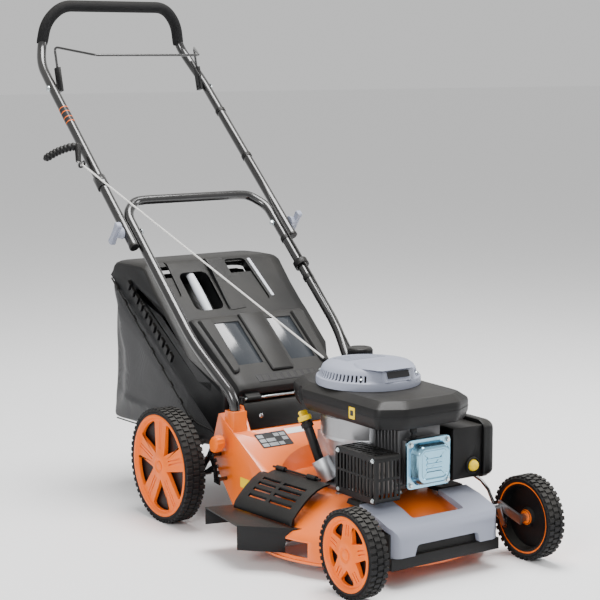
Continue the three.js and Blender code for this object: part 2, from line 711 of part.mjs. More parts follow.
// carburettor, air filter and primer bulb on the left
addPart('carburettor', union(
  block(64, 100, -150, -96, 210, 262),
  bar([59, -122, 240], [66, -122, 240], 14, 16),
), ALLOY);
addPart('air_filter_box', cut(
  block(86, 170, -182, -62, 186, 304),
  block(60, 100 + GAP, -150 - GAP, -96 + GAP, 210 - GAP, 262 + GAP),
  bar([BULB[0], -200, BULB[1]], [BULB[0], BULB_Y + BULB_TRAVEL + 2, BULB[1]], BULB_RADIUS + GAP, 20),
), BLACK);
addPart('air_filter_cover', plateX([
  [-190, 192],
  [-178, 180],
  [-70, 180],
  [-56, 192],
  [-56, 300],
  [-66, 314],
  [-172, 314],
  [-190, 302],
], 170 + GAP, 204), BLACK);
addPart('primer_bulb', turnedSolid([
  [0, 0],
  [BULB_RADIUS, 0],
  [BULB_RADIUS, -12],
  [BULB_RADIUS - 3, -18],
  [6, -23],
  [0, -24],
], 20, 'y', BULB[0], BULB_Y, BULB[1]), YELLOW);

// fuel tank shroud, recoil cover and cap
const shroudPlan = [
  [-72, -220],
  [72, -220],
  [128, -186],
  [135, 60],
  [142, 226],
  [62, 232],
  [-86, 200],
  [-130, 104],
  [-130, -186],
];
const NECK_TOP_Z = 412;
const shroud = cut(
  union(
    plateZ(shroudPlan, SHROUD_LOW_Z, SHROUD_TOP_Z),
    plateZ(inset(shroudPlan, 16), SHROUD_TOP_Z - 1, SHROUD_TOP_Z + 12),
    bar([...FUEL_CAP, SHROUD_TOP_Z], [...FUEL_CAP, NECK_TOP_Z], 26, 24),
  ),
  bar([...FUEL_CAP, SHROUD_LOW_Z + 20], [...FUEL_CAP, 430], 20, 24),
  plateZ(inset(shroudPlan, 6), SHROUD_LOW_Z - 10, SHROUD_LOW_Z + 14),
  bar([0, DECK_Y, SHROUD_LOW_Z - 5], [0, DECK_Y, SHROUD_TOP_Z + 20], 96, 40),
  bar(onFiller(fillerLength - 6), onFiller(fillerLength + 150), DIPSTICK_RADIUS + 3, 24),
);
addPart('shroud_tank', shroud, BLACK);
addPart('flywheel', union(
  bar([0, DECK_Y, SHROUD_LOW_Z - 19], [0, DECK_Y, SHROUD_LOW_Z + 30], CRANK_RADIUS, 20),
  bar([0, DECK_Y, SHROUD_LOW_Z + 4], [0, DECK_Y, SHROUD_LOW_Z + 30], 84, 36),
), ALLOY);
const recoilBase = SHROUD_TOP_Z + 12 + GAP;
const recoilProfile = (wall) => [
  [0, recoilBase - wall],
  [RECOIL_RADIUS - wall, recoilBase - wall],
  [RECOIL_RADIUS - wall, recoilBase + 16],
  [RECOIL_RADIUS - 8 - wall, RECOIL_TOP_Z - 12 - wall * 0.5],
  [RECOIL_RADIUS - 22 - wall, RECOIL_TOP_Z - wall],
  [0, RECOIL_TOP_Z - wall],
];
addPart('recoil_cover', cut(
  union(
    cut(
      turnedSolid(recoilProfile(0), 40, 'z', 0, DECK_Y, 0),
      turnedSolid(recoilProfile(4), 40, 'z', 0, DECK_Y, 0),
    ),
    bar([0, DECK_Y, recoilBase + 20 + GAP], [0, DECK_Y, RECOIL_TOP_Z - 2], 14, 24),
  ),
  bar(onRope(-30), onRope(20), ROPE, 12),
), GREY);
addPart('recoil_pulley', bar([0, DECK_Y, recoilBase + 2], [0, DECK_Y, recoilBase + 20], 62, 32), BLACK);
addPart('fuel_cap', cut(
  bar([...FUEL_CAP, NECK_TOP_Z - 12], [...FUEL_CAP, NECK_TOP_Z + 24], FUEL_CAP_RADIUS, 28),
  bar([...FUEL_CAP, NECK_TOP_Z - 30], [...FUEL_CAP, NECK_TOP_Z + GAP], 26 + 2 * GAP, 28),
), BLACK);

// oil filler tube and its yellow dipstick cap
addPart('filler_tube', bar(onFiller(0), onFiller(fillerLength), 11, 20), BLACK);
addPart('dipstick_cap', union(
  bar(onFiller(fillerLength + GAP), onFiller(fillerLength + 12), DIPSTICK_RADIUS, 20, 12),
  bar(onFiller(fillerLength + 11), onFiller(fillerLength + 24), 10, 20),
), YELLOW);

// ---------------------------------------------------------------- side cover and chute
const CHUTE_ROOF_Z = 100;
const CHUTE_MOUTH = [[-318, 218], [-340, 46]];
const CHUTE_ROOT_X = -208;
const chuteWall = ([x0, y0], [x1, y1], thick, z0, z1) => {
  const run = new THREE.Vector2(x1 - x0, y1 - y0).normalize().multiplyScalar(thick);
  return plateZ([[x0, y0], [x1, y1], [x1 - run.y, y1 + run.x], [x0 - run.y, y0 + run.x]], z0, z1);
};
addPart('side_chute', cut(
  union(
    plateZ([CHUTE_MOUTH[0], CHUTE_MOUTH[1], [CHUTE_ROOT_X, -88], [CHUTE_ROOT_X, 186]],
      CHUTE_ROOF_Z - 3, CHUTE_ROOF_Z),
    chuteWall(CHUTE_MOUTH[1], [CHUTE_ROOT_X, -88], 3, 44, CHUTE_ROOF_Z),
    chuteWall([CHUTE_ROOT_X, 186], CHUTE_MOUTH[0], 3, 60, CHUTE_ROOF_Z),
  ),
  deckPlug,
), BLACK);

// ribbed hinged cover over the side port, drawn square and then turned to follow the round deck
const coverTurn = new THREE.Matrix4().makeRotationZ(THREE.MathUtils.degToRad(5.5))
  .setPosition(-158, 80, 0);
const coverPiece = (points, y0, y1) => {
  const geometry = new THREE.ExtrudeGeometry(outline(points), { depth: y1 - y0, bevelEnabled: false });
  geometry.applyMatrix4(new THREE.Matrix4().set(
    -1, 0, 0, 0,
    0, 0, 1, y0,
    0, 1, 0, 0,
    0, 0, 0, 1));
  return toSolid(geometry.applyMatrix4(coverTurn));
};
const coverProfile = [
  [-4, 181],
  [34, 174],
  [72, 150],
  [104, 118],
  [106, 104],
  [102, 103],
  [101, 116],
  [70, 146],
  [33, 169],
  [-4, 177],
];
const coverSlot = (from, to) => coverPiece([
  [from, 90],
  [to, 90],
  [to, 200],
  [from, 200],
], -84, 62);
addPart('side_cover', cut(
  union(
    coverPiece(coverProfile, -112, 96),
    coverPiece([[-10, 182], [-10, 188], [2, 192], [8, 188], [8, 176]], -70, -40),
    coverPiece([[-10, 182], [-10, 188], [2, 192], [8, 188], [8, 176]], 40, 70),
    coverPiece([[-4, 183], [2, 183], [2, 188], [-4, 188]], -84, 84),
  ),
  coverSlot(44, 52),
  coverSlot(62, 70),
  coverSlot(80, 88),
  coverPiece([[-30, 60], [40, 60], [-30, 240]], -140, -86),
  coverPiece(rectangle(-30, 22, 140, 240), 76, 140),
  deckPlug,
), BLACK);

// ---------------------------------------------------------------- handle
const tubeRadius = TUBE / 2;
const LOWER_BEND = -372;
const lowerSide = (sign) => [
  [sign * FOOT_X, ...FOOT_LOW],
  [sign * (FOOT_X + 2), ...FOOT_HIGH],
  alongHandle(sign * LOWER_X, LOWER_BEND),
  alongHandle(sign * LOWER_X, 62),
  alongHandle(sign * (LOWER_X - 38), 104),
];
const lowerPath = roundedPath([
  ...lowerSide(-1),
  alongHandle(-LOWER_X + 70, 108),
  alongHandle(LOWER_X - 70, 108),
  ...lowerSide(1).reverse(),
], 46);
const clampBore = bar([-300, ...PIVOT], [300, ...PIVOT], 4 + GAP, 16);
addPart('lower_handle', cut(tubeAlong(lowerPath, tubeRadius, 12, 44), clampBore), BLACK_STEEL);

const GRIP_END = [213.8, 1243.9, 1146.2];
const upperSide = (sign) => [
  alongHandle(sign * UPPER_X, -50),
  alongHandle(sign * UPPER_X, 560),
  [sign * (UPPER_X - 4), 1196, 1100],
  [sign * GRIP_END[0], GRIP_END[1] - 12, GRIP_END[2] + 8],
  [sign * 203, 1226, 1214],
  [sign * 160, 1215, 1258],
];
const upperPath = roundedPath([...upperSide(-1), ...upperSide(1).reverse()], 44);
const bailX = UPPER_X - tubeRadius - 8;
const bailBolt = (sign) => union(
  bar([sign * (bailX - 8), ...BAIL_PIVOT], [sign * (UPPER_X + tubeRadius + 3), ...BAIL_PIVOT], 3, 12),
  bar([sign * UPPER_X, ...BAIL_PIVOT], [sign * (UPPER_X + tubeRadius + 4), ...BAIL_PIVOT], 6, 6),
);
addPart('upper_handle', union(
  cut(tubeAlong(upperPath, tubeRadius, 12, 62), clampBore),
  bailBolt(-1),
  bailBolt(1),
), BLACK_STEEL);
const foamPath = roundedPath([
  ...[upperSide(-1)[3], upperSide(-1)[4], upperSide(-1)[5]],
  ...[upperSide(1)[5], upperSide(1)[4], upperSide(1)[3]],
], 44);
addPart('foam_grip', cut(
  tubeAlong(foamPath, FOAM / 2, 12, 26),
  tubeAlong(upperPath, tubeRadius + GAP + 0.6, 12, 62),
), RUBBER);

// clamp knobs, each in one piece with its bolt through both handles
for (const [side, sign] of SIDES) {
  const inner = sign * (LOWER_X - tubeRadius - GAP);
  const outer = sign * (UPPER_X + tubeRadius + GAP);
  addPart(`clamp_knob_${side}`, union(
    bar([inner, ...PIVOT], [inner - sign * 5, ...PIVOT], 8, 20),
    bar([inner - sign * 2, ...PIVOT], [outer + sign * 12, ...PIVOT], 4, 16),
    bar([outer, ...PIVOT], [outer + sign * 16, ...PIVOT], 15, 24, 11),
    lever(polar(...PIVOT, 34, 128), polar(...PIVOT, 34, 308), 9, outer + sign * 14, outer + sign * 28),
  ), GREY);
}

// bail: plastic levers pivoting on the upper handle, joined by a bent wire
for (const [side, sign] of SIDES) {
  addPart(`bail_lever_${side}`, cut(
    lever(BAIL_PIVOT, [BAIL_PIVOT[0] + 12, BAIL_PIVOT[1] + 46], 9, sign * (bailX - 6.5), sign * (bailX + 4.5)),
    bar([sign * 150, ...BAIL_PIVOT], [sign * 300, ...BAIL_PIVOT], 3 + GAP, 12),
    bar([sign * (bailX - 1), BAIL_PIVOT[0] + 8, BAIL_PIVOT[1] + 30],
      [sign * (bailX - 1), BAIL_PIVOT[0] + 24, BAIL_PIVOT[1] + 92], BAIL_WIRE / 2 + GAP, 12),
  ), BLACK);
}
const bailSide = (sign) => [
  [sign * (bailX - 1), BAIL_PIVOT[0] + 8.6, BAIL_PIVOT[1] + 32.4],
  [sign * (bailX - 1), 1149, 1147],
  [sign * 158, 1022, 1125],
];
addPart('bail_wire', tubeAlong(roundedPath([...bailSide(-1), ...bailSide(1).reverse()], 14),
  BAIL_WIRE / 2, 8, 48), BLACK_STEEL);

// rope guide on the right tube, starter grip and rope
const guideArm = alongHandle(-UPPER_X - 6, 176, tubeRadius + 3);
const guideRing = new THREE.TorusGeometry(9, 3, 8, 20);
guideRing.applyQuaternion(new THREE.Quaternion().setFromUnitVectors(new THREE.Vector3(0, 0, 1), ropeRun));
guideRing.translate(...GUIDE.toArray());
const guideFoot = alongHandle(-UPPER_X, 176, tubeRadius + 3);
addPart('rope_guide', union(
  toSolid(guideRing),
  tubeAlong(roundedPath([guideFoot, guideArm, [GUIDE.x + 8, GUIDE.y + 4, GUIDE.z - 3]], 10), 2.6, 8, 10),
  cut(bar(alongHandle(-UPPER_X, 158, 0), alongHandle(-UPPER_X, 194, 0), tubeRadius + 4, 16),
    bar(alongHandle(-UPPER_X, 120, 0), alongHandle(-UPPER_X, 240, 0), tubeRadius + GAP, 16)),
), BLACK_STEEL);
const gripAxis = new THREE.Vector3(0.806, -0.522, 0.267).normalize();
const gripEnd = (distance) => GRIP_CENTRE.clone().addScaledVector(gripAxis, distance);
const stemFoot = GUIDE.clone().addScaledVector(ropeRun, 14);
addPart('starter_grip', cut(
  union(
    tubeAlong(new THREE.CatmullRomCurve3([
      gripEnd(-56).add(new THREE.Vector3(0, 4, -12)),
      gripEnd(-20),
      gripEnd(20).add(new THREE.Vector3(0, 0, 2)),
      gripEnd(50).add(new THREE.Vector3(0, 4, -10)),
    ]), 11, 12, 12),
    bar(gripEnd(34).toArray(), stemFoot.toArray(), 9, 12, 7),
  ),
  bar(onRope(ropeLength + 4), onRope(ropeLength + 26), ROPE / 2 + GAP, 10),
), BLACK);
addPart('starter_rope', bar(onRope(1), onRope(ropeLength + 22), ROPE / 2, 8), WHITE);

// brake cable from the bail down the left tube to the engine, with its clips
const cableX = UPPER_X - tubeRadius - 5;
const cablePoints = [
  [bailX - 15, 1141, 1108],
  alongHandle(cableX, 480, tubeRadius + 6),
  alongHandle(cableX + 2, 400, tubeRadius + 5),
  alongHandle(cableX + 4, 120, tubeRadius + 6),
  alongHandle(LOWER_X, 30, tubeRadius + 5),
  alongHandle(LOWER_X, -180, tubeRadius + 5),
  alongHandle(LOWER_X - 6, -330, tubeRadius + 8),
  [176, 330, 400],
  [150, 244, 352],
];
addPart('brake_cable', tubeAlong(roundedPath(cablePoints, 40), 2.5, 8, 44), BLACK);
const clipAt = (x, distance) => cut(
  bar(alongHandle(x, distance - 9, 2), alongHandle(x, distance + 9, 2), tubeRadius + 7, 16),
  bar(alongHandle(x, distance - 40, 0), alongHandle(x, distance + 40, 0), tubeRadius + GAP, 16),
  bar(alongHandle(x, distance - 40, tubeRadius + 5), alongHandle(x, distance + 40, tubeRadius + 5), 3.4, 12),
);
addPart('cable_clip', clipAt(LOWER_X, -152), BLACK);

// ---------------------------------------------------------------- rear flap
const flapRoot = [HINGE_Y, pinZ];
const flapHalf = (distance) => 147 + 24 * (distance / FLAP_LENGTH);
const flapPlan = (inward, from, to) => [
  [-flapHalf(from) + inward, from],
  [flapHalf(from) - inward, from],
  [flapHalf(to) - inward, to],
  [-flapHalf(to) + inward, to],
];
const flapSlab = (points, low, high) => slopePlate(points, low, high, flapRoot, FLAP_ANGLE);
const windowSlots = [
  ['right', rectangle(-112, -42, 92, 236)],
  ['left', rectangle(42, 112, 92, 236)],
];
const grown = ([[x0, y0], , [x1, y1]], by) => rectangle(x0 - by, x1 + by, y0 - by, y1 + by);
addPart('rear_flap', cut(
  union(
    cut(
      flapSlab(flapPlan(0, 14, FLAP_LENGTH), -4, 20),
      flapSlab(flapPlan(3, 17, FLAP_LENGTH - 3), -12, 17),
    ),
    flapSlab(rectangle(-130, -90, -2, 18), -4, 6),
    flapSlab(rectangle(90, 130, -2, 18), -4, 6),
    bar([-130, ...flapRoot], [-90, ...flapRoot], 7, 16),
    bar([90, ...flapRoot], [130, ...flapRoot], 7, 16),
  ),
  bar([-200, ...flapRoot], [200, ...flapRoot], 3 + GAP, 12),
  ...windowSlots.map(([, plan]) => flapSlab(plan, 0, 30)),
), SATIN);
for (const [side, plan] of windowSlots) {
  addPart(`flap_window_${side}`, flapSlab(grown(plan, -GAP), 14.5, 17.5), SMOKE);
}

// ---------------------------------------------------------------- collector
const BAG_WALL = 3;
const bagPlan = [
  [-160, 360],
  [160, 360],
  [160, 424],
  [BAG_HALF, 478],
  [BAG_HALF, 940],
  [-BAG_HALF, 940],
  [-BAG_HALF, 478],
  [-160, 424],
];
const inPlan = (solid, wall) => solid.intersect(plateZ(inset(bagPlan, wall), 100, 700));
const SEAM_LOW = [404, REAR_RADIUS + 56];
const SEAM_HIGH = [876, 560];
const LID_EDGE = [572, 482];
const topProfile = [
  SEAM_LOW,
  SEAM_HIGH,
  [862, 590],
  [842, 600],
  [708, LID_TOP_Z],
  LID_EDGE,
  [384, 312],
];
const bagProfile = [
  [SEAM_LOW[0] + GAP, SEAM_LOW[1] - GAP],
  [424, SEAM_LOW[1] - 10],
  [650, BAG_LOW_Z + 6],
  [872, BAG_LOW_Z],
  [898, BAG_LOW_Z + 2],
  [BAG_REAR_Y + 4, 300],
  [SEAM_HIGH[0] + GAP, SEAM_HIGH[1] - GAP],
];
const seamRun = new THREE.Vector2(SEAM_HIGH[0] - SEAM_LOW[0], SEAM_HIGH[1] - SEAM_LOW[1]).normalize();
const openSeam = (points, shift) => points.map(([y, z], i) => {
  const atSeam = shift > 0 ? (i === 0 || i === points.length - 1) : (i === 0 || i === 1);
  return atSeam ? [y - seamRun.y * shift, z + seamRun.x * shift] : [y, z];
});
const throat = plateX([[360, 210], [392, 200], [420, 220], [400, 318], [360, 312]], -150, 150);
const lidAngle = Math.atan2(LID_TOP_Z - LID_EDGE[1], 708 - LID_EDGE[0]);
const TRAY = [-118, -34, 14, 142];
const TRAY_DEPTH = 45;
const onLid = (x, distance, rise) => [
  x,
  LID_EDGE[0] + distance * Math.cos(lidAngle) - rise * Math.sin(lidAngle),
  LID_EDGE[1] + distance * Math.sin(lidAngle) + rise * Math.cos(lidAngle),
];
addPart('collector_top', cut(
  union(
    cut(
      inPlan(plateX(topProfile, -BAG_HALF, BAG_HALF), 0),
      inPlan(plateX(openSeam(inset(topProfile, BAG_WALL), -14), -BAG_HALF + BAG_WALL, BAG_HALF - BAG_WALL), BAG_WALL),
    ),
    slopePlate(grown(rectangle(...TRAY), BAG_WALL), -TRAY_DEPTH - BAG_WALL, -1, LID_EDGE, lidAngle),
  ),
  throat,
  slopePlate(rectangle(...TRAY), -TRAY_DEPTH, 60, LID_EDGE, lidAngle),
), SATIN);
addPart('collector_handle', bar(
  onLid(-76, TRAY[2] + GAP, -13),
  onLid(-76, TRAY[3] - GAP, -13), 10, 16), GREY);
addPart('grass_bag', cut(
  inPlan(plateX(bagProfile, -BAG_HALF, BAG_HALF), 0),
  inPlan(plateX(openSeam(inset(bagProfile, BAG_WALL), 14), -BAG_HALF + BAG_WALL, BAG_HALF - BAG_WALL), BAG_WALL),
), CLOTH);

// the centre of the footprint goes over the origin
const bounds = new THREE.Box3().setFromObject(mower);
const centre = bounds.getCenter(new THREE.Vector3());
mower.position.set(-centre.x, -centre.y, -bounds.min.z);
mower.updateMatrixWorld(true);

export default mower;
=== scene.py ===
# %% [markdown]
# # A walk-behind mower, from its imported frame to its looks
# The frame below is the mower's engineering model: every solid is in its place and grouped into the
# bodies that turn and slide. This lesson dresses it. Solids whose shape is already right keep it and get
# rounded edges and a proper finish. The ones that the eye rests on, such as tyres, tubes, slotted
# covers and the grass bag, are built again in finer mesh code and ride on the same bodies.

# %% Load the frame and measure it
import math

import bmesh
import bpy
from mathutils import Matrix, Vector, noise


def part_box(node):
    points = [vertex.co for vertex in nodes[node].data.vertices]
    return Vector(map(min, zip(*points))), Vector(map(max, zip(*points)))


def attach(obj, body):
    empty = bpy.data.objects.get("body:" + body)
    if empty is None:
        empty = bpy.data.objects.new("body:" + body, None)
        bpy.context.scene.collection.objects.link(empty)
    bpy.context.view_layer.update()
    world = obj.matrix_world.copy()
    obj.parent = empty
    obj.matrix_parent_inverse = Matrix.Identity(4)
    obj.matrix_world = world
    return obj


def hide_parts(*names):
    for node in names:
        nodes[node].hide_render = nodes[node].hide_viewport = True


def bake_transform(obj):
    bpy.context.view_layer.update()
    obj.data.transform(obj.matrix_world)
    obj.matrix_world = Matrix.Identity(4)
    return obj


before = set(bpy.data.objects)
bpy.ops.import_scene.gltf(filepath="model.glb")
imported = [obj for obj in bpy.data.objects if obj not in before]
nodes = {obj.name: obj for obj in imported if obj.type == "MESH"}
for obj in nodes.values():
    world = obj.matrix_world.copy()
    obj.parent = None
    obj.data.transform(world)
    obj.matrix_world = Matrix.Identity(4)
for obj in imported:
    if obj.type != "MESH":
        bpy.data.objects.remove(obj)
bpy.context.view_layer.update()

# %% [markdown]
# A mower is drawn from its crankshaft, because the deck, blade and engine all share that line. So sizes
# here are in millimetres, with x measured from the crankshaft, z from the ground, and y from a line 20 mm
# in front of the shaft. One function turns such a point into the frame's metres.

# %% Points in millimetres, measured from the crankshaft
shaft_low, shaft_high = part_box("crankshaft")
SHAFT = (Vector(shaft_low) + Vector(shaft_high)) / 2
SHAFT_Y = 20


def at(x, y, z):
    return Vector((SHAFT.x + x / 1000, SHAFT.y + (y - SHAFT_Y) / 1000, z / 1000))


def middle(node):
    low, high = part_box(node)
    centre = (Vector(low) + Vector(high)) / 2
    return ((centre.x - SHAFT.x) * 1000, (centre.y - SHAFT.y) * 1000 + SHAFT_Y, centre.z * 1000)


print("shaft", tuple(round(v, 4) for v in SHAFT))

# %% [markdown]
# ## Camera, floor and light
# A long lens from the front right corner keeps the wheels nearly parallel. The light is what a product
# studio uses: one soft source overhead, one beside the camera, one on the far side, and a pale room that
# fills the shadows and gives the painted steel something broad to reflect.

# %% Camera
camera_data = bpy.data.cameras.new("camera")
camera = bpy.data.objects.new("camera", camera_data)
bpy.context.scene.collection.objects.link(camera)
camera.location = at(-2235, -3003, 1129)
look = Vector((0.5715, 0.8072, -0.1478))
camera.rotation_mode = "QUATERNION"
camera.rotation_quaternion = look.to_track_quat("-Z", "Y")
camera_data.lens = 100.6
camera_data.shift_x = -0.0573
camera_data.shift_y = 0.007
camera_data.clip_end = 60
bpy.context.scene.camera = camera
print("camera at", tuple(round(v, 3) for v in camera.location))

# %% Floor and soft light


def plain_surface(name, colour, roughness):
    material = bpy.data.materials.new(name)
    material.use_nodes = True
    shader = material.node_tree.nodes["Principled BSDF"]
    shader.inputs["Base Color"].default_value = (*colour, 1)
    shader.inputs["Roughness"].default_value = roughness
    return material


floor_mesh = bpy.data.meshes.new("floor")
FLOOR_HALF = 40
floor_mesh.from_pydata([(-FLOOR_HALF, -FLOOR_HALF, 0), (FLOOR_HALF, -FLOOR_HALF, 0),
                        (FLOOR_HALF, FLOOR_HALF, 0), (-FLOOR_HALF, FLOOR_HALF, 0)], [], [(0, 1, 2, 3)])
floor = bpy.data.objects.new("floor", floor_mesh)
floor.data.materials.append(plain_surface("pale_floor", (0.92, 0.92, 0.92), 0.9))
bpy.context.scene.collection.objects.link(floor)

world = bpy.data.worlds.new("room")
world.use_nodes = True
room_light = world.node_tree.nodes["Background"]
room_light.inputs["Color"].default_value = (1, 1, 1, 1)
room_light.inputs["Strength"].default_value = 0.72
bpy.context.scene.world = world


def soft_light(name, place, aim, width, power):
    data = bpy.data.lights.new(name, "AREA")
    data.shape = "SQUARE"
    data.size = width
    data.energy = power
    light = bpy.data.objects.new(name, data)
    light.location = place
    light.rotation_mode = "QUATERNION"
    light.rotation_quaternion = (Vector(aim) - Vector(place)).to_track_quat("-Z", "Y")
    bpy.context.scene.collection.objects.link(light)


soft_light("overhead", (0.3, -0.2, 3.4), (0, 0, 0.4), 1.8, 190)
soft_light("beside_camera", (-3.2, -2.6, 2.1), (0, 0, 0.5), 1.2, 90)
soft_light("far_side", (3.0, -1.2, 1.6), (0, 0, 0.5), 1.4, 46)

# %% [markdown]
# ## Finishes
# No real surface is one flat value. Each finish starts from one shared node group that drifts the colour
# and the gloss slowly over the piece, adds a fine grain for a bump, and lays a little dust on faces
# that look up. Every material places the group with its own numbers, so gloss paint, moulded plastic and
# rubber differ by a few values and not by a new tangle of nodes.

# %% The shared surface group


def new_group(name, inputs, outputs):
    group = bpy.data.node_groups.new(name, "ShaderNodeTree")
    for label, kind, value in inputs:
        socket = group.interface.new_socket(label, in_out="INPUT", socket_type=kind)
        socket.default_value = value
    for label, kind in outputs:
        group.interface.new_socket(label, in_out="OUTPUT", socket_type=kind)
    return group, group.nodes.new("NodeGroupInput"), group.nodes.new("NodeGroupOutput")


def math_node(tree, operation, first, second):
    node = tree.nodes.new("ShaderNodeMath")
    node.operation = operation
    for index, value in enumerate((first, second)):
        if isinstance(value, (int, float)):
            node.inputs[index].default_value = value
        else:
            tree.links.new(value, node.inputs[index])
    return node.outputs[0]


def mix_colours(tree, factor, first, second, blend="MIX"):
    node = tree.nodes.new("ShaderNodeMix")
    node.data_type = "RGBA"
    node.blend_type = blend
    for socket, value in ((node.inputs[0], factor), (node.inputs[6], first), (node.inputs[7], second)):
        if hasattr(value, "is_linked"):
            tree.links.new(value, socket)
        else:
            socket.default_value = value
    return node.outputs[2]


def noise_on(tree, coordinates, scale, detail=3.0):
    node = tree.nodes.new("ShaderNodeTexNoise")
    node.inputs["Detail"].default_value = detail
    tree.links.new(coordinates, node.inputs["Vector"])
    if hasattr(scale, "is_linked"):
        tree.links.new(scale, node.inputs["Scale"])
    else:
        node.inputs["Scale"].default_value = scale
    return node.outputs["Fac"]


surface, given, result = new_group(
    "worked_surface",
    [("Colour", "NodeSocketColor", (0.5, 0.5, 0.5, 1)), ("Drift", "NodeSocketFloat", 0.1),
     ("Roughness", "NodeSocketFloat", 0.5), ("Grain Scale", "NodeSocketFloat", 900.0),
     ("Dust", "NodeSocketFloat", 0.05)],
    [("Colour", "NodeSocketColor"), ("Roughness", "NodeSocketFloat"), ("Height", "NodeSocketFloat")])
place = surface.nodes.new("ShaderNodeTexCoord").outputs["Object"]
slow = noise_on(surface, place, 9.0, 4.0)
fine = noise_on(surface, place, given.outputs["Grain Scale"], 2.0)
shift = math_node(surface, "MULTIPLY", math_node(surface, "SUBTRACT", slow, 0.5), given.outputs["Drift"])
tone = surface.nodes.new("ShaderNodeHueSaturation")
surface.links.new(math_node(surface, "ADD", shift, 1.0), tone.inputs["Value"])
surface.links.new(given.outputs["Colour"], tone.inputs["Color"])
facing = surface.nodes.new("ShaderNodeSeparateXYZ")
surface.links.new(surface.nodes.new("ShaderNodeNewGeometry").outputs["Normal"], facing.inputs[0])
upward = math_node(surface, "MAXIMUM", facing.outputs["Z"], 0.0)
specks = math_node(surface, "MULTIPLY", math_node(surface, "MULTIPLY", upward, slow), given.outputs["Dust"])
dusty = mix_colours(surface, specks, tone.outputs[0], (0.62, 0.58, 0.5, 1))
surface.links.new(dusty, result.inputs["Colour"])
gloss = math_node(surface, "ADD", given.outputs["Roughness"], math_node(surface, "MULTIPLY", shift, 0.8))
surface.links.new(math_node(surface, "ADD", gloss, math_node(surface, "MULTIPLY", specks, 0.5)),
                  result.inputs["Roughness"])
surface.links.new(fine, result.inputs["Height"])
print("group", surface.name, "sockets", len(surface.interface.items_tree))

# %% A function that makes one finish


def finish(name, colour, roughness, metallic=0.0, drift=0.12, grain=900.0, depth=0.04, dust=0.05,
           coat=0.0):
    material = bpy.data.materials.new(name)
    material.use_nodes = True
    tree = material.node_tree
    shader = tree.nodes["Principled BSDF"]
    group = tree.nodes.new("ShaderNodeGroup")
    group.node_tree = surface
    values = {"Colour": (*colour, 1), "Drift": drift, "Roughness": roughness, "Grain Scale": grain,
              "Dust": dust}
    for label, value in values.items():
        group.inputs[label].default_value = value
    tree.links.new(group.outputs["Colour"], shader.inputs["Base Color"])
    tree.links.new(group.outputs["Roughness"], shader.inputs["Roughness"])
    bump = tree.nodes.new("ShaderNodeBump")
    bump.inputs["Strength"].default_value = depth
    bump.inputs["Distance"].default_value = 0.0006
    tree.links.new(group.outputs["Height"], bump.inputs["Height"])
    tree.links.new(bump.outputs["Normal"], shader.inputs["Normal"])
    shader.inputs["Metallic"].default_value = metallic
    shader.inputs["Coat Weight"].default_value = coat
    shader.inputs["Coat Roughness"].default_value = 0.12
    shader.inputs["Specular IOR Level"].default_value = 0.5 if coat or metallic else 0.24
    return material


ORANGE_PAINT = finish("orange_paint", (0.88, 0.15, 0.0), 0.36, drift=0.10, grain=500, depth=0.05, coat=0.35)
ORANGE_PLASTIC = finish("orange_plastic", (0.88, 0.15, 0.0), 0.38, drift=0.06, grain=1400, depth=0.08)
BLACK_PLASTIC = finish("black_moulding", (0.004, 0.004, 0.0045), 0.4, grain=1500, depth=0.35, dust=0.06)
SATIN_PLASTIC = finish("charcoal_moulding", (0.005, 0.0053, 0.006), 0.46, grain=1300, depth=0.4, dust=0.07)
TUBE_PAINT = finish("black_tube_paint", (0.003, 0.003, 0.0035), 0.22, drift=0.05, grain=300, depth=0.03,
                    coat=0.8)
GREY_PLASTIC = finish("grey_moulding", (0.28, 0.30, 0.37), 0.42, drift=0.06, grain=1300, depth=0.2)
PALE_PLASTIC = finish("pale_carry_bar", (0.62, 0.64, 0.68), 0.35, drift=0.05, grain=900, depth=0.1)
TYRE_RUBBER = finish("tyre_rubber", (0.006, 0.006, 0.007), 0.66, drift=0.3, grain=700, depth=0.5, dust=0.12)
FOAM = finish("grip_foam", (0.004, 0.004, 0.0045), 0.8, drift=0.2, grain=2600, depth=1.0, dust=0.04)
ZINC = finish("zinc_plate", (0.60, 0.66, 0.68), 0.28, 1.0, drift=0.2, grain=500, depth=0.06)
CAST_ALLOY = finish("cast_alloy", (0.50, 0.51, 0.53), 0.42, 0.9, drift=0.3, grain=650, depth=0.7)
BARE_STEEL = finish("bare_steel", (0.34, 0.34, 0.35), 0.36, 1.0, drift=0.3, grain=420, depth=0.15)
HOT_STEEL = finish("exhaust_steel", (0.20, 0.18, 0.17), 0.5, 0.9, drift=0.5, grain=260, depth=0.3)
FIN_ALLOY = finish("cooling_fins", (0.16, 0.16, 0.165), 0.5, 0.8, drift=0.3, grain=700, depth=0.5)
YELLOW = finish("yellow_moulding", (0.90, 0.60, 0.01), 0.34, drift=0.05, grain=900, depth=0.08)
SMOKE = finish("smoked_window", (0.012, 0.017, 0.024), 0.16, drift=0.05, grain=200, depth=0.02, coat=0.5)
DARK_LABEL = finish("dark_label", (0.02, 0.02, 0.022), 0.25, drift=0.04, grain=300, depth=0.02)
WHITE_LABEL = finish("white_label", (0.75, 0.75, 0.73), 0.4, drift=0.05, grain=300, depth=0.02)
print("finishes", len([m for m in bpy.data.materials if m.use_nodes]))

# %% [markdown]
# ## Tools for making shapes
# Almost everything on a mower is bent tube, turned metal or moulded plate. Three makers cover them: a
# sweep of a round section along a route, a profile turned about an axis, and an outline pushed out into
# a plate. Each returns plain points and faces in millimetres, so that several can be joined in one piece.

# %% Routes, sweeps, turnings and plates


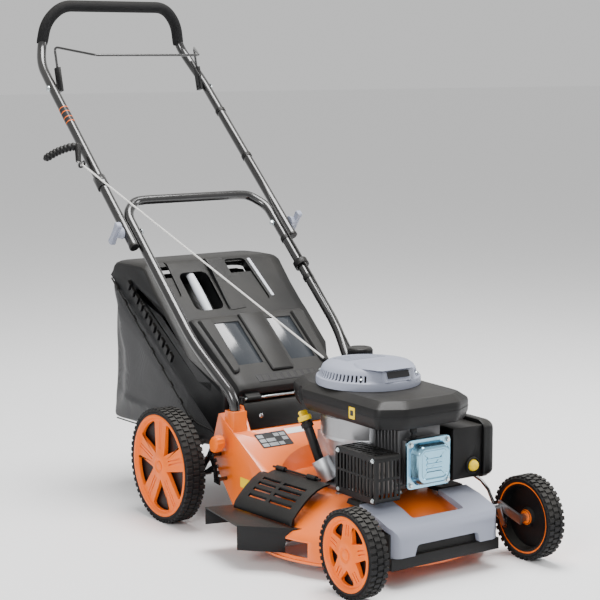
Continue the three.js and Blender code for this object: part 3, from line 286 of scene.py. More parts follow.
def rounded(points, radius, steps=8):
    corners = [Vector(point) for point in points]
    route = [corners[0]]
    for before, corner, after in zip(corners, corners[1:], corners[2:]):
        reach = min(radius, (before - corner).length * 0.48, (after - corner).length * 0.48)
        start = corner + (before - corner).normalized() * reach
        end = corner + (after - corner).normalized() * reach
        for i in range(steps + 1):
            t = i / steps
            route.append(start * (1 - t) ** 2 + corner * (2 * t * (1 - t)) + end * t ** 2)
    route.append(corners[-1])
    return route


def divided(route, spacing):
    """The same route with extra points, no further apart than spacing."""
    points = [route[0]]
    for a, b in zip(route, route[1:]):
        count = max(1, math.ceil((b - a).length / spacing))
        points += [a.lerp(b, i / count) for i in range(1, count + 1)]
    return points


def sweep(route, radius, sides=24):
    count = len(route)
    points, faces = [], []
    heading = [(route[min(i + 1, count - 1)] - route[max(i - 1, 0)]).normalized() for i in range(count)]
    across = heading[0].orthogonal().normalized()
    for i, centre in enumerate(route):
        if i:
            across = heading[i - 1].rotation_difference(heading[i]) @ across
        other = heading[i].cross(across).normalized()
        size = radius(i / (count - 1)) if callable(radius) else radius
        for k in range(sides):
            angle = 2 * math.pi * k / sides
            points.append(centre + (across * math.cos(angle) + other * math.sin(angle)) * size)
    for i in range(count - 1):
        for k in range(sides):
            a, b = i * sides + k, i * sides + (k + 1) % sides
            faces.append((a, b, b + sides, a + sides))
    faces.append(tuple(reversed(range(sides))))
    faces.append(tuple(range((count - 1) * sides, count * sides)))
    return points, faces


def turned(profile, centre, axis, sides=64, closed=False):
    """Profile of (radius, distance along the axis), turned about the axis through centre."""
    heading = Vector(axis).normalized()
    across = heading.orthogonal().normalized()
    other = heading.cross(across)
    points, faces = [], []
    for radius, along in profile:
        for k in range(sides):
            angle = 2 * math.pi * k / sides
            points.append(Vector(centre) + heading * along
                          + (across * math.cos(angle) + other * math.sin(angle)) * radius)
    rows = len(profile)
    for i in range(rows if closed else rows - 1):
        low, high = i * sides, ((i + 1) % rows) * sides
        for k in range(sides):
            nxt = (k + 1) % sides
            faces.append((low + k, low + nxt, high + nxt, high + k))
    return points, faces


def plate(outline, low, high, axis):
    """Outline of (first, second) pairs pushed out along axis: "x" takes (y, z), "y" (x, z), "z" (x, y)."""
    place = {"x": lambda a, b, c: (c, a, b), "y": lambda a, b, c: (a, c, b), "z": lambda a, b, c: (a, b, c)}
    count = len(outline)
    points = [Vector(place[axis](a, b, level)) for level in (low, high) for a, b in outline]
    faces = [tuple(reversed(range(count))), tuple(range(count, 2 * count))]
    for i in range(count):
        j = (i + 1) % count
        faces.append((i, j, j + count, i + count))
    return points, faces


def block(x0, x1, y0, y1, z0, z1):
    return plate([(x0, y0), (x1, y0), (x1, y1), (x0, y1)], z0, z1, "z")


def joined(*shapes):
    points, faces = [], []
    for some_points, some_faces in shapes:
        start = len(points)
        points += some_points
        faces += [tuple(start + i for i in face) for face in some_faces]
    return points, faces


def turned_round(shape, matrix):
    return [matrix @ Vector(point) for point in shape[0]], shape[1]


print("makers ready")

# %% [markdown]
# A finished piece is a mesh object with smooth shading, sharp corners kept, and a small bevel where light
# should catch the edge. Slots and windows are taken out with a Boolean before the bevel, the way a press
# pierces a plate before it is deburred. Pieces then ride on a body, and may stand for frame nodes.

# %% From a shape to a piece that rides


def mesh_object(name, shape, weld=0.00002):
    mesh = bpy.data.meshes.new(name)
    mesh.from_pydata([at(*point) for point in shape[0]], [], shape[1])
    work = bmesh.new()
    work.from_mesh(mesh)
    bmesh.ops.remove_doubles(work, verts=work.verts, dist=weld)
    bmesh.ops.recalc_face_normals(work, faces=work.faces)
    work.to_mesh(mesh)
    work.free()
    piece = bpy.data.objects.new(name, mesh)
    bpy.context.scene.collection.objects.link(piece)
    return piece


def settle(piece):
    """Applies every modifier that the piece has."""
    bpy.context.view_layer.update()
    graph = bpy.context.evaluated_depsgraph_get()
    mesh = bpy.data.meshes.new_from_object(piece.evaluated_get(graph))
    piece.modifiers.clear()
    piece.data = mesh


def pierce(piece, shape):
    cutter = mesh_object(piece.name + "_cutter", shape)
    modifier = piece.modifiers.new("pierce", "BOOLEAN")
    modifier.operation = "DIFFERENCE"
    modifier.solver = "EXACT"
    modifier.use_self = True
    modifier.object = cutter
    settle(piece)
    bpy.data.objects.remove(cutter)


def shade(piece, angle=32):
    for polygon in piece.data.polygons:
        polygon.use_smooth = True
    piece.data.set_sharp_from_angle(angle=math.radians(angle))


def soften_edges(piece, width, segments=3):
    modifier = piece.modifiers.new("edges", "BEVEL")
    modifier.width = width / 1000
    modifier.segments = segments
    modifier.limit_method = "ANGLE"
    modifier.angle_limit = math.radians(34)
    modifier.harden_normals = True


def piece(name, shape, material, body, edge=0.0, stands_for=(), holes=None, slot=None):
    made = mesh_object(name, shape)
    if holes:
        pierce(made, holes)
    made.data.materials.clear()
    made.data.materials.append(material)
    shade(made)
    if edge:
        soften_edges(made, edge)
    if body:
        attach(made, body)
    if stands_for:
        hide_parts(*stands_for)
    return made


print("piece maker ready")

# %% [markdown]
# ## Frame nodes that keep their shape
# A solid from an engineering program has razor edges, and nothing moulded, cast or pressed does. The
# cheapest fix that never changes the solid itself is a pair of modifiers: one welds the doubled points,
# the next rounds every edge by about a millimetre and keeps flat faces flat.

# %% Round the edges of the kept nodes and give them their finish
kept = {
    "deck": (ORANGE_PAINT, 1.6),
    "hinge_panel": (BLACK_PLASTIC, 0.7),
    "flap_hinge_pin": (ZINC, 0.3),
    "bumper_base": (BLACK_PLASTIC, 2.0),
    "front_axle": (BARE_STEEL, 0.6),
    "rear_axle": (BARE_STEEL, 0.6),
    "link_rod": (TUBE_PAINT, 0.3),
    "height_lever": (TUBE_PAINT, 0.4),
    "notch_plate": (TUBE_PAINT, 0.5),
    "crankshaft": (BARE_STEEL, 0.4),
    "blade": (BARE_STEEL, 0.4),
    "blade_bolt": (ZINC, 0.6),
    "crankcase": (CAST_ALLOY, 1.5),
    "cylinder": (FIN_ALLOY, 0.5),
    "spark_plug": (BLACK_PLASTIC, 0.6),
    "muffler": (HOT_STEEL, 3.0),
    "carburettor": (CAST_ALLOY, 1.5),
    "air_filter_box": (BLACK_PLASTIC, 2.0),
    "flywheel": (CAST_ALLOY, 0.8),
    "recoil_pulley": (BLACK_PLASTIC, 0.8),
    "filler_tube": (BLACK_PLASTIC, 0.6),
    "side_chute": (BLACK_PLASTIC, 0.8),
    "bail_lever_right": (BLACK_PLASTIC, 1.5),
    "bail_lever_left": (BLACK_PLASTIC, 1.5),
    "cable_clip": (BLACK_PLASTIC, 0.6),
    "rope_guide": (TUBE_PAINT, 0.4),
    "flap_window_right": (SMOKE, 0.4),
    "flap_window_left": (SMOKE, 0.4),
    "collector_top": (SATIN_PLASTIC, 2.0),
}


def keep(node, material, edge):
    solid = nodes[node]
    solid.data.materials.clear()
    solid.data.materials.append(material)
    weld = solid.modifiers.new("weld", "WELD")
    weld.merge_threshold = 0.00002
    for polygon in solid.data.polygons:
        polygon.use_smooth = True
    soften_edges(solid, edge, 2)


for node, (material, edge) in kept.items():
    keep(node, material, edge)
print("kept nodes", len(kept))

# %% [markdown]
# ## Wheels
# A push mower's wheel is a moulded rubber tyre on a moulded plastic rim. The tread is rows of blocks, so
# the tyre is a turned ring just under full size with the blocks set on it. The rim is a shallow dish with
# five windows and a pair of grooves down every spoke, so it is turned first and then pierced.

# %% Tyres with block tread


def polar(y, z, radius, degrees):
    angle = math.radians(degrees)
    return y + radius * math.cos(angle), z + radius * math.sin(angle)


def tyre(node, body, blocks):
    low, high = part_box(node)
    x, y, z = middle(node)
    radius = (high[2] - low[2]) * 500
    half = (high[0] - low[0]) * 500
    inner = radius - 15
    base = radius - 3.5
    ring = turned([(inner, -half + 1), (inner + 4, -half), (base - 4, -half), (base - 1, -half + 2),
                   (base, -half + 5), (base, half - 5), (base - 1, half - 2), (base - 4, half),
                   (inner + 4, half), (inner, half - 1)], (x, y, z), (1, 0, 0), 120, closed=True)
    shapes = [ring]
    step = 360 / blocks
    rows = [(-half + 0.6, -half * 0.42, 0.0), (-half * 0.3, half * 0.3, 0.5), (half * 0.42, half - 0.6, 0.0)]
    for start, end, offset in rows:
        for i in range(blocks):
            turn = (i + offset) * step
            span = step * 0.34
            outline = [polar(y, z, base - 2, turn - span), polar(y, z, radius, turn - span * 0.86),
                       polar(y, z, radius, turn + span * 0.86), polar(y, z, base - 2, turn + span)]
            shapes.append(plate(outline, x + start, x + end, "x"))
    for ring_radius in (inner + 5, base - 6):
        for face in (-half, half):
            shapes.append(turned([(ring_radius, -0.8), (ring_radius + 1.6, -0.8), (ring_radius + 1.2, 0.8),
                                  (ring_radius + 0.4, 0.8)], (x + face * 0.985, y, z), (1, 0, 0), 96, True))
    piece(node + "_tread", joined(*shapes), TYRE_RUBBER, body, 0.0, (node,), slot="tyre_rubber")


for name, count in (("front", 40), ("rear", 56)):
    for side in ("right", "left"):
        tyre(f"{name}_tyre_{side}", f"{name}_wheel_{side}", count)

# %% Rims with five windows and grooved spokes


def rim(node, body, outward):
    low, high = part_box(node)
    x, y, z = middle(node)
    x = (high[0] if outward > 0 else low[0]) * 1000 - SHAFT.x * 1000
    barrel = (high[2] - low[2]) * 500
    depth = (high[0] - low[0]) * 1000
    outward = float(outward)
    dish = turned([
        (6.6, -depth + 10), (17, -depth + 10), (19, -16), (barrel - 8, -14), (barrel - 4.5, -depth + 3),
        (barrel - 4.0, -depth), (barrel, -depth), (barrel, -0.5), (barrel - 2, 0.6), (barrel - 6, 0.6),
        (barrel - 8, -1), (barrel - 11, -7), (36, -4.6), (30, -1.2), (21, 0.4), (18, 0.4), (15, -1.5),
        (9, -2.2), (6.6, -2.2)], (x, y, z), (outward, 0, 0), 120, closed=True)
    holes = []
    for i in range(5):
        turn = i * 72 + 126
        outer = barrel - 15
        outline = [polar(y, z, 33, turn)]
        outline += [polar(y, z, outer - 4, turn - 21), polar(y, z, outer, turn - 18)]
        outline += [polar(y, z, outer + 1, turn + step) for step in (-9, 0, 9)]
        outline += [polar(y, z, outer, turn + 18), polar(y, z, outer - 4, turn + 21)]
        holes.append(plate(outline, x - 40, x + 40, "x"))
        for side in (-1, 1):
            spoke = turn + 36
            offset = side * 4.2
            sine, cosine = math.sin(math.radians(spoke)), math.cos(math.radians(spoke))
            corners = []
            for along, across in ((40, -1.3), (barrel - 17, -1.3), (barrel - 17, 1.3), (40, 1.3)):
                reach = across + offset
                corners.append((y + along * cosine - reach * sine, z + along * sine + reach * cosine))
            face = x - outward * 9.2
            holes.append(plate(corners, min(face, face + outward * 12), max(face, face + outward * 12), "x"))
    piece(node + "_spokes", dish, ORANGE_PLASTIC, body, 0.9, (node,), joined(*holes), "orange_plastic")
    hub = turned([(0, 2.2), (9, 2.2), (11.5, 0.8), (12, -3), (0, -3)], (x - outward * 1.5, y, z),
                 (outward, 0, 0), 48)
    piece(node + "_hub_cap", hub, ORANGE_PLASTIC, body, slot="orange_plastic")
    backing = turned([(15, -depth + 12), (19, -depth + 11.5), (24, -19.5), (barrel - 9, -17.5),
                      (barrel - 5, -depth + 3.5), (barrel - 3.6, -depth + 3.5), (barrel - 3.6, -depth - 0.4),
                      (barrel - 8.4, -depth - 0.4), (barrel - 12, -20.5), (22, -22.5), (15, -depth + 8.5)],
                     (x, y, z), (outward, 0, 0), 96, closed=True)
    piece(node + "_backing", backing, BLACK_PLASTIC, body, 0.0, slot="black_plastic")
    nut = turned([(0, -depth + 3), (9.5, -depth + 3), (9.5, -depth + 10), (0, -depth + 10)], (x, y, z),
                 (outward, 0, 0), 6)
    piece(node + "_nut", nut, ZINC, body, 0.8, slot="zinc")


for name in ("front", "rear"):
    rim(f"{name}_rim_right", f"{name}_wheel_right", -1)
    rim(f"{name}_rim_left", f"{name}_wheel_left", 1)

# %% [markdown]
# ## Handle tubes, foam, bail and ropes
# The handle is two bends of 25 mm tube, bolted side by side so that the upper one folds. The frame's tubes
# have few sides, so each is swept again along the same route with a finer section. The route is the one
# that the frame was drawn on: a slope of 41.4 degrees through the clamp bolts.

# %% The handle's slope and its two routes
CLAMP = (719.5, 684.1)
SLOPE = math.radians(41.4)
LOWER_X, UPPER_X, TUBE_R = 212.0, 238.0, 12.5


def on_handle(x, along, rise=0.0):
    return (x, CLAMP[0] + math.cos(SLOPE) * along - math.sin(SLOPE) * rise,
            CLAMP[1] + math.sin(SLOPE) * along + math.cos(SLOPE) * rise)


def both_sides(half):
    return half + [(-x, y, z) for x, y, z in reversed(half)]


lower_half = [(-175, 311, 263), (-177, 315, 322), on_handle(-LOWER_X, -372), on_handle(-LOWER_X, 62),
              on_handle(-(LOWER_X - 38), 104), on_handle(-(LOWER_X - 70), 108)]
upper_half = [on_handle(-UPPER_X, -50), on_handle(-UPPER_X, 560), (-234, 1196, 1100),
              (-213.8, 1231.9, 1154.2), (-203, 1226, 1214), (-160, 1215, 1258)]
lower_route = rounded(both_sides(lower_half), 46, 12)
upper_route = rounded(both_sides(upper_half), 44, 12)
piece("lower_tube", sweep(lower_route, TUBE_R, 32), TUBE_PAINT, "frame", 0.0, ("lower_handle",),
      slot="black_tube")
piece("upper_tube", sweep(upper_route, TUBE_R, 32), TUBE_PAINT, "upper_handle", 0.0, ("upper_handle",),
      slot="black_tube")
print("tube lengths", [round(sum((b - a).length for a, b in zip(r, r[1:])) / 1000, 3)
                       for r in (lower_route, upper_route)])

# %% Plastic plugs, bail bolts and the foam sleeve
for side, sign in (("right", -1), ("left", 1)):
    foot = Vector(on_handle(sign * UPPER_X, -50))
    heading = Vector(on_handle(sign * UPPER_X, 0)) - foot
    plug = turned([(0, -3), (11, -3), (13, -1.5), (13, 4), (0, 4)], foot, heading, 40)
    piece(f"tube_plug_{side}", plug, BLACK_PLASTIC, "upper_handle", slot="black_plastic")
    outer = sign * (UPPER_X + TUBE_R)
    bolt = turned([(0, 5.5), (3.5, 5.2), (7.5, 3.4), (8, 0), (0, 0)], (outer, 1120, 1037), (sign, 0, 0), 32)
    piece(f"bail_bolt_{side}", bolt, ZINC, "upper_handle", slot="zinc")
foam_half = upper_half[3:]
foam_route = rounded(both_sides(foam_half), 44, 14)


def foam_radius(fraction):
    return 15.6 - 1.4 * math.exp(-min(fraction, 1 - fraction) * 160)


sleeve = piece("foam_sleeve", sweep(divided(foam_route, 4), foam_radius, 40), FOAM, "upper_handle", 0.0,
               ("foam_grip",), slot="foam")

# %% Bail wire, brake cable and its ties
BAIL_X = UPPER_X - TUBE_R - 8
bail_half = [(-(BAIL_X - 1), 1128.6, 1069.4), (-(BAIL_X - 1), 1149, 1147), (-158, 1022, 1125)]
piece("bail_bent_wire", sweep(rounded(both_sides(bail_half), 14, 10), 3.25, 20), TUBE_PAINT, "bail", 0.0,
      ("bail_wire",), slot="black_tube")
cable_x = UPPER_X - TUBE_R - 5
cable_route = rounded([(BAIL_X - 15, 1141, 1108), on_handle(cable_x, 480, 18.5), on_handle(cable_x + 2,
                                                                      400, 17.5),
                       on_handle(cable_x + 4, 120, 18.5), on_handle(LOWER_X, 30, 17.5),
                       on_handle(LOWER_X, -180, 17.5), on_handle(LOWER_X - 6, -330, 20.5), (176, 330, 400),
                       (150, 244, 352)], 40, 10)
cable = piece("brake_cable_sleeve", sweep(divided(cable_route, 12), 2.6, 16), BLACK_PLASTIC, None, 0.0,
              ("brake_cable",), slot="black_plastic")
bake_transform(cable)
for index, along in enumerate((430, 250, -60, -200)):
    x = UPPER_X if along > 0 else LOWER_X
    body = "upper_handle" if along > 0 else "frame"
    route = [Vector(on_handle(x, along - 6)), Vector(on_handle(x, along + 6))]
    piece(f"cable_tie_{index}", sweep(route, 14.2, 32), BLACK_PLASTIC, body, 0.8, slot="black_plastic")
print("cable length", round(sum((b - a).length for a, b in zip(cable_route, cable_route[1:])) / 1000, 3))

# %% [markdown]
# ## Engine covers
# The top of the engine is one black moulding that holds the tank, with a grey recoil cover on it. The
# cover is a low dome that stays hollow, because the flywheel below draws its air through rows of slots.
# So it is turned as a shell and pierced, and the slots show real depth instead of a painted pattern.

# %% Black shroud in rings from its skirt to its crown
SHROUD_LOW, SHROUD_TOP = 328.0, 376.0
shroud_plan = [(-72, -220), (72, -220), (128, -186), (135, 60), (142, 226), (62, 232), (-86, 200),
               (-130, 104),
               (-130, -186)]


def flat_inset(outline, amount):
    """Moves every side of a convex outline inward by amount."""
    count = len(outline)
    area = sum(a[0] * b[1] - b[0] * a[1] for a, b in zip(outline, outline[1:] + outline[:1]))
    turn = 1 if area > 0 else -1
    lines = []
    for a, b in zip(outline, outline[1:] + outline[:1]):
        along = Vector((b[0] - a[0], b[1] - a[1])).normalized()
        inward = Vector((-along.y, along.x)) * turn
        lines.append((Vector(a) + inward * amount, along))
    result_points = []
    for i in range(count):
        (p, d), (q, e) = lines[i - 1], lines[i]
        cross = d.x * e.y - d.y * e.x
        if abs(cross) < 1e-6:
            result_points.append((q.x, q.y))
            continue
        t = ((q.x - p.x) * e.y - (q.y - p.y) * e.x) / cross
        result_points.append((p.x + d.x * t, p.y + d.y * t))
    return result_points


def round_outline(outline, radius, steps=6):
    """A closed outline with its corners rounded."""
    count = len(outline)
    smooth = []
    for i in range(count):
        before, corner, after = (Vector(outline[(i + k) % count]) for k in (-1, 0, 1))
        reach = min(radius, (before - corner).length * 0.45, (after - corner).length * 0.45)
        start = corner + (before - corner).normalized() * reach
        end = corner + (after - corner).normalized() * reach
        for k in range(steps + 1):
            t = k / steps
            point = start * (1 - t) ** 2 + corner * (2 * t * (1 - t)) + end * t ** 2
            smooth.append((point.x, point.y))
    return smooth


def stacked(rings):
    """Closed rings of (x, y, z) points, all with the same count, skinned into one solid."""
    count = len(rings[0])
    points = [Vector(point) for ring in rings for point in ring]
    faces = [tuple(reversed(range(count))), tuple(range((len(rings) - 1) * count, len(rings) * count))]
    for level in range(len(rings) - 1):
        for i in range(count):
            j = (i + 1) % count
            low = level * count
            faces.append((low + i, low + j, low + count + j, low + count + i))
    return points, faces


def layer(outline, amount, level, radius=11):
    return [(x, y, level) for x, y in round_outline(flat_inset(outline, amount), radius)]


shroud_shape = stacked([layer(shroud_plan, 7, SHROUD_LOW), layer(shroud_plan, 5.5, SHROUD_LOW + 3),
                        layer(shroud_plan, 0.4, SHROUD_LOW + 17), layer(shroud_plan, 0.2, SHROUD_TOP - 8),
                        layer(shroud_plan, 2, SHROUD_TOP - 2.5), layer(shroud_plan, 5, SHROUD_TOP),
                        layer(shroud_plan, 19, SHROUD_TOP + 10), layer(shroud_plan, 22, SHROUD_TOP + 12)])
filler_foot, filler_head = Vector((-105, 58, 203)), Vector((-122, 95, 300))
filler_line = (filler_head - filler_foot).normalized()
shroud_holes = joined(
    turned([(0, -6), (97, -6), (97, 80), (0, 80)], (0, SHAFT_Y, SHROUD_LOW), (0, 0, 1), 64),
    stacked([layer(shroud_plan, 7, SHROUD_LOW - 8), layer(shroud_plan, 7, SHROUD_LOW + 13)]),
    turned([(0, 0), (19, 0), (19, 150), (0, 150)], filler_head - filler_line * 6, filler_line, 40))
piece("shroud_body", shroud_shape, BLACK_PLASTIC, "frame", 1.0, ("shroud_tank",), shroud_holes,
      "black_plastic")
seam_ring = stacked([layer(shroud_plan, -0.5, SHROUD_TOP - 22), layer(shroud_plan, -0.5, SHROUD_TOP - 20)])
piece("shroud_seam", seam_ring, SATIN_PLASTIC, "frame", 0.3,
      holes=joined(turned([(0, -6), (97, -6), (97, 80), (0, 80)], (0, SHAFT_Y, SHROUD_LOW), (0, 0, 1), 64),
                   turned([(0, 0), (19, 0), (19, 150), (0, 150)], filler_head - filler_line * 6,
                          filler_line, 40)),
      slot="black_plastic")
neck = turned([(20, 0), (26, 0), (26, 30), (24, 36), (20, 36)], (98, 186, SHROUD_TOP), (0, 0, 1), 64,
              closed=True)
piece("tank_neck", neck, BLACK_PLASTIC, "frame", 0.5, slot="black_plastic")

# %% Fuel cap with a ribbed rim
cap_points = []
CAP_LOW = 400.5
for k in range(144):
    ripple = 30.9 if (k // 2) % 2 else 29.4
    angle = 2 * math.pi * k / 144
    cap_points.append((98 + ripple * math.cos(angle), 186 + ripple * math.sin(angle)))
cap_sides = plate(cap_points, CAP_LOW, 430, "z")
cap_crown = turned([(0, -2), (29.5, -2), (29, 2.5), (26.5, 5), (20, 5.8), (18, 4.6), (0, 4.6)], (98,
                                                                      186, 430),
                   (0, 0, 1), 72)
piece("fuel_cap_rim", cap_sides, BLACK_PLASTIC, "fuel_cap", 0.4, ("fuel_cap",),
      turned([(0, -10), (27, -10), (27, 11), (0, 11)], (98, 186, CAP_LOW), (0, 0, 1), 48), "black_plastic")
piece("fuel_cap_crown", cap_crown, BLACK_PLASTIC, "fuel_cap", 0.6, slot="black_plastic")

# %% Grey recoil cover, hollow and slotted
RECOIL_LOW = 388.6
cover_shell = turned([
    (119.5, 0), (120, 3), (120, 12), (119, 17), (113, 21), (111, 24), (108, 33), (104, 41), (96, 47),
    (70, 50.5),
    (30, 51.2), (0.5, 51.2), (0.5, 48.4), (30, 48.4), (70, 47.6), (94, 44.4), (101, 39), (105, 31), (108, 22),
    (116.4, 15), (117, 3), (117, 0)], (0, SHAFT_Y, RECOIL_LOW), (0, 0, 1), 160, closed=True)
slots = []


def top_slot(x, y, length, width, turn=0.0, low=RECOIL_LOW + 40, high=RECOIL_LOW + 60):
    outline = [(-length / 2, -width / 2), (length / 2, -width / 2), (length / 2, width / 2),
               (-length / 2, width / 2)]
    sine, cosine = math.sin(turn), math.cos(turn)
    return plate([(x + a * cosine - b * sine, SHAFT_Y + y + a * sine + b * cosine) for a, b in outline],
                 low, high, "z")


for row in range(4):
    for k in range(15):
        slots.append(top_slot(-49 + k * 7.6, 18 + row * 15, 3.4, 10.5))
for k in range(17):
    turn = math.radians(147 + k * 5.2)
    slots.append(top_slot(112 * math.cos(turn), 112 * math.sin(turn), 15, 4.6, turn, RECOIL_LOW + 19,
                          RECOIL_LOW + 34))
for k in range(17):
    turn = math.radians(-52 + k * 5.2)
    slots.append(top_slot(112 * math.cos(turn), 112 * math.sin(turn), 15, 4.6, turn, RECOIL_LOW + 19,
                          RECOIL_LOW + 34))
rope_start, rope_guide = Vector((-53, 121, 434)), Vector((-280, 877, 849))
rope_line = (rope_guide - rope_start).normalized()
slots.append(turned([(0, -30), (5.5, -30), (5.5, 26), (0, 26)], rope_start, rope_line, 24))
piece("recoil_shell", cover_shell, GREY_PLASTIC, "frame", 0.5, ("recoil_cover",), joined(*slots),
      "grey_plastic")
crest = stacked([
    [(x, y, RECOIL_LOW + 47) for x, y in round_outline([(-50, -96), (50, -96), (74, -34), (60, 6), (-60, 6),
                                                         (-74, -34)], 12)],
    [(x, y, RECOIL_LOW + 52.6) for x, y in round_outline([(-44, -84), (44, -84), (68, -30), (54, 3), (-54, 3),
                                                           (-68, -30)], 12)],
    [(x, y, RECOIL_LOW + 54) for x, y in round_outline([(-42, -80), (42, -80), (65, -29), (51, 1), (-51, 1),
                                                         (-65, -29)], 12)]])
piece("recoil_crest", crest, GREY_PLASTIC, "frame", 0.6, slot="grey_plastic")
brow = stacked([
    [(x, y, RECOIL_LOW + 19) for x, y in round_outline([(-36, -97), (36, -97), (46, -60), (-46, -60)], 6)],
    [(x, y, RECOIL_LOW + 50) for x, y in round_outline([(-30, -84), (30, -84), (40, -56), (-40, -56)], 6)]])
piece("recoil_brow", brow, GREY_PLASTIC, "frame", 1.2, slot="grey_plastic")
name_plate = block(-30, 30, -1, 1.2, -7.5, 7.5)
tilt = Matrix.Translation((0, -92.2, RECOIL_LOW + 35)) @ Matrix.Rotation(math.radians(-22.7), 4, "X")
piece("blank_plate", turned_round(name_plate, tilt), DARK_LABEL, "frame", 0.5, slot="black_plastic")
for k in range(4):
    turn = math.radians(45 + 90 * k)
    place = (110 * math.cos(turn), SHAFT_Y + 110 * math.sin(turn), RECOIL_LOW + 24)
    screw = turned([(0, 4), (3, 4), (5, 2.4), (5.4, 0), (0, 0)], place, (0, 0, 1), 24)
    piece(f"recoil_screw_{k}", screw, ZINC, "frame", slot="zinc")
print("recoil slots", len(slots))

# %% Dipstick cap with its two wings
head = turned([(0, 0.4), (15.6, 0.4), (16, 2), (16, 9), (14, 12), (11, 12.6), (0, 12.6)], filler_head,
              filler_line, 56)
wing = plate([(-13, 10), (13, 10), (15, 22), (9, 24.2), (-9, 24.2), (-15, 22)], -3.4, 3.4, "y")
turn_to_filler = Matrix.Translation(filler_head) @ filler_line.to_track_quat("Z", "Y").to_matrix().to_4x4()
piece("dipstick_head", joined(head, turned_round(wing, turn_to_filler)), YELLOW, "dipstick_cap", 1.0,
      ("dipstick_cap",), slot="yellow_plastic")
collar = turned([(11.4, 0), (14.5, 0), (14.5, 10), (11.4, 12)], filler_head - filler_line * 16,
                filler_line, 48,
                closed=True)
piece("filler_collar", collar, BLACK_PLASTIC, "frame", 0.6, slot="black_plastic")

# %% [markdown]
# ## The working side of the engine
# Exhaust guard, valve cover and air filter face the front, so they are the parts most looked at. The guard
# is a box of slots around the exhaust, the valve cover is zinc-plated steel with a raised eight-sided
# panel, and the filter lid is a moulded box with a stepped face. Bolts are turned one by one.

# %% Bolts with a hexagon head


def hex_bolt(name, place, axis, size, body="frame", material=None, washer=True):
    shapes = [turned([(0, 0.3), (size, 0.3), (size, size * 0.8), (size * 0.82, size * 1.05), (0,
                                                                      size * 1.05)],
                     place, axis, 6)]
    if washer:
        shapes.append(turned([(0, 0), (size * 1.3, 0), (size * 1.3, 1.2), (0, 1.2)], place, axis, 32))
    return piece(name, joined(*shapes), material or ZINC, body, 0.3, slot="zinc")


# %% Valve cover
COVER_FRONT = -225.0
cover_flange = stacked([[(x, y, z) for x, z in round_outline([(-60, 190), (60, 190), (60, 300), (-60,
                                                                      300)], 12)]
                        for y in (-196.6, -204)])


def octagon(grow, y):
    outline = [(-48, 216), (-34, 200), (34, 200), (48, 216), (48, 274), (34, 290), (-34, 290), (-48, 274)]
    return [(x, y, z) for x, z in round_outline(flat_inset(outline, grow), 7)]


bulge = stacked([octagon(-3, -203), octagon(0, -208), octagon(1.5, -218), octagon(5, COVER_FRONT + 1.2),
                 octagon(8, COVER_FRONT), octagon(13, COVER_FRONT), octagon(15, COVER_FRONT + 2.2),
                 octagon(30, COVER_FRONT + 2.2)])
PLATED = finish("blue_zinc_plate", (0.30, 0.56, 0.72), 0.24, 1.0, drift=0.35, grain=420, depth=0.10,
                dust=0.03)
piece("valve_cover_flange", cover_flange, PLATED, "frame", 1.2, ("valve_cover",), slot="zinc")
piece("valve_cover_panel", bulge, PLATED, "frame", 0.8, slot="zinc")
ribs = [block(-22, 22, COVER_FRONT + 0.4, COVER_FRONT + 3, z, z + 5) for z in (232, 243, 254)]
piece("valve_cover_ribs", joined(*ribs), PLATED, "frame", 1.0, slot="zinc")
for k, (x, z) in enumerate(((-51, 200), (51, 200), (51, 290), (-51, 290))):
    hex_bolt(f"cover_bolt_{k}", (x, -204, z), (0, -1, 0), 5.2)

# %% Exhaust guard
guard_shell = stacked([[(x, y, z) for y, z in round_outline([(-210, 172), (-62, 172), (-62, 277), (-210,
                                                                      277)], 9)]
                       for x in (-150, -83)])
guard_holes = [block(-147, -60, -207, -65, 160, 274)]
for i in range(11):
    y = -203 + i * 12.6
    guard_holes.append(block(-160, -140, y, y + 6.6, 186, 224))
    guard_holes.append(block(-160, -140, y, y + 6.6, 229, 264))
for i in range(5):
    x = -141 + i * 12
    guard_holes.append(block(x, x + 6.4, -230, -200, 184, 222))
    guard_holes.append(block(x, x + 6.4, -230, -200, 228, 264))
for i in range(9):
    y = -196 + i * 14.6
    guard_holes.append(block(-140, -118, y, y + 7, 268, 290))
    guard_holes.append(block(-113, -91, y, y + 7, 268, 290))
piece("exhaust_guard", guard_shell, BLACK_PLASTIC, "frame", 0.7, ("muffler_guard",), joined(*guard_holes),
      "black_plastic")
for k, (y, z) in enumerate(((-200, 180), (-72, 180), (-72, 268), (-200, 268))):
    hex_bolt(f"guard_bolt_{k}", (-150, y, z), (-1, 0, 0), 4.0)

# %% Air filter lid, primer bulb and the alloy band
lid_outline = [(-190, 192), (-178, 180), (-70, 180), (-56, 192), (-56, 300), (-66, 314), (-172, 314),
               (-190, 302)]


def lid_ring(amount, x):
    return [(x, y, z) for y, z in round_outline(flat_inset(lid_outline, amount), 16)]


lid = stacked([lid_ring(2, 170.6), lid_ring(0.4, 173), lid_ring(0.4, 186), lid_ring(3, 187.5),
               lid_ring(3.5, 196),
               lid_ring(6, 200.5), lid_ring(11, 202), lid_ring(18, 202), lid_ring(20, 199.6),
               lid_ring(40, 199.6)])
piece("filter_lid", lid, BLACK_PLASTIC, "frame", 0.6, ("air_filter_cover",), slot="black_plastic")
bars = [block(198.6, 203, -160 + i * 14, -153 + i * 14, 226, 268) for i in range(6)]
piece("filter_lid_ribs", joined(*bars), BLACK_PLASTIC, "frame", 1.0, slot="black_plastic")
BULB = (143, -172, 214)
bulb_shape = turned([(0, 0.2), (13.8, 0.2), (14, 8), (13.4, 13), (11, 19), (7, 22.6), (3, 23.8), (0,
                                                                      24)], BULB,
                    (0, -1, 0), 56)
piece("primer_dome", bulb_shape, YELLOW, "primer_bulb", 0.0, ("primer_bulb",), slot="yellow_plastic")
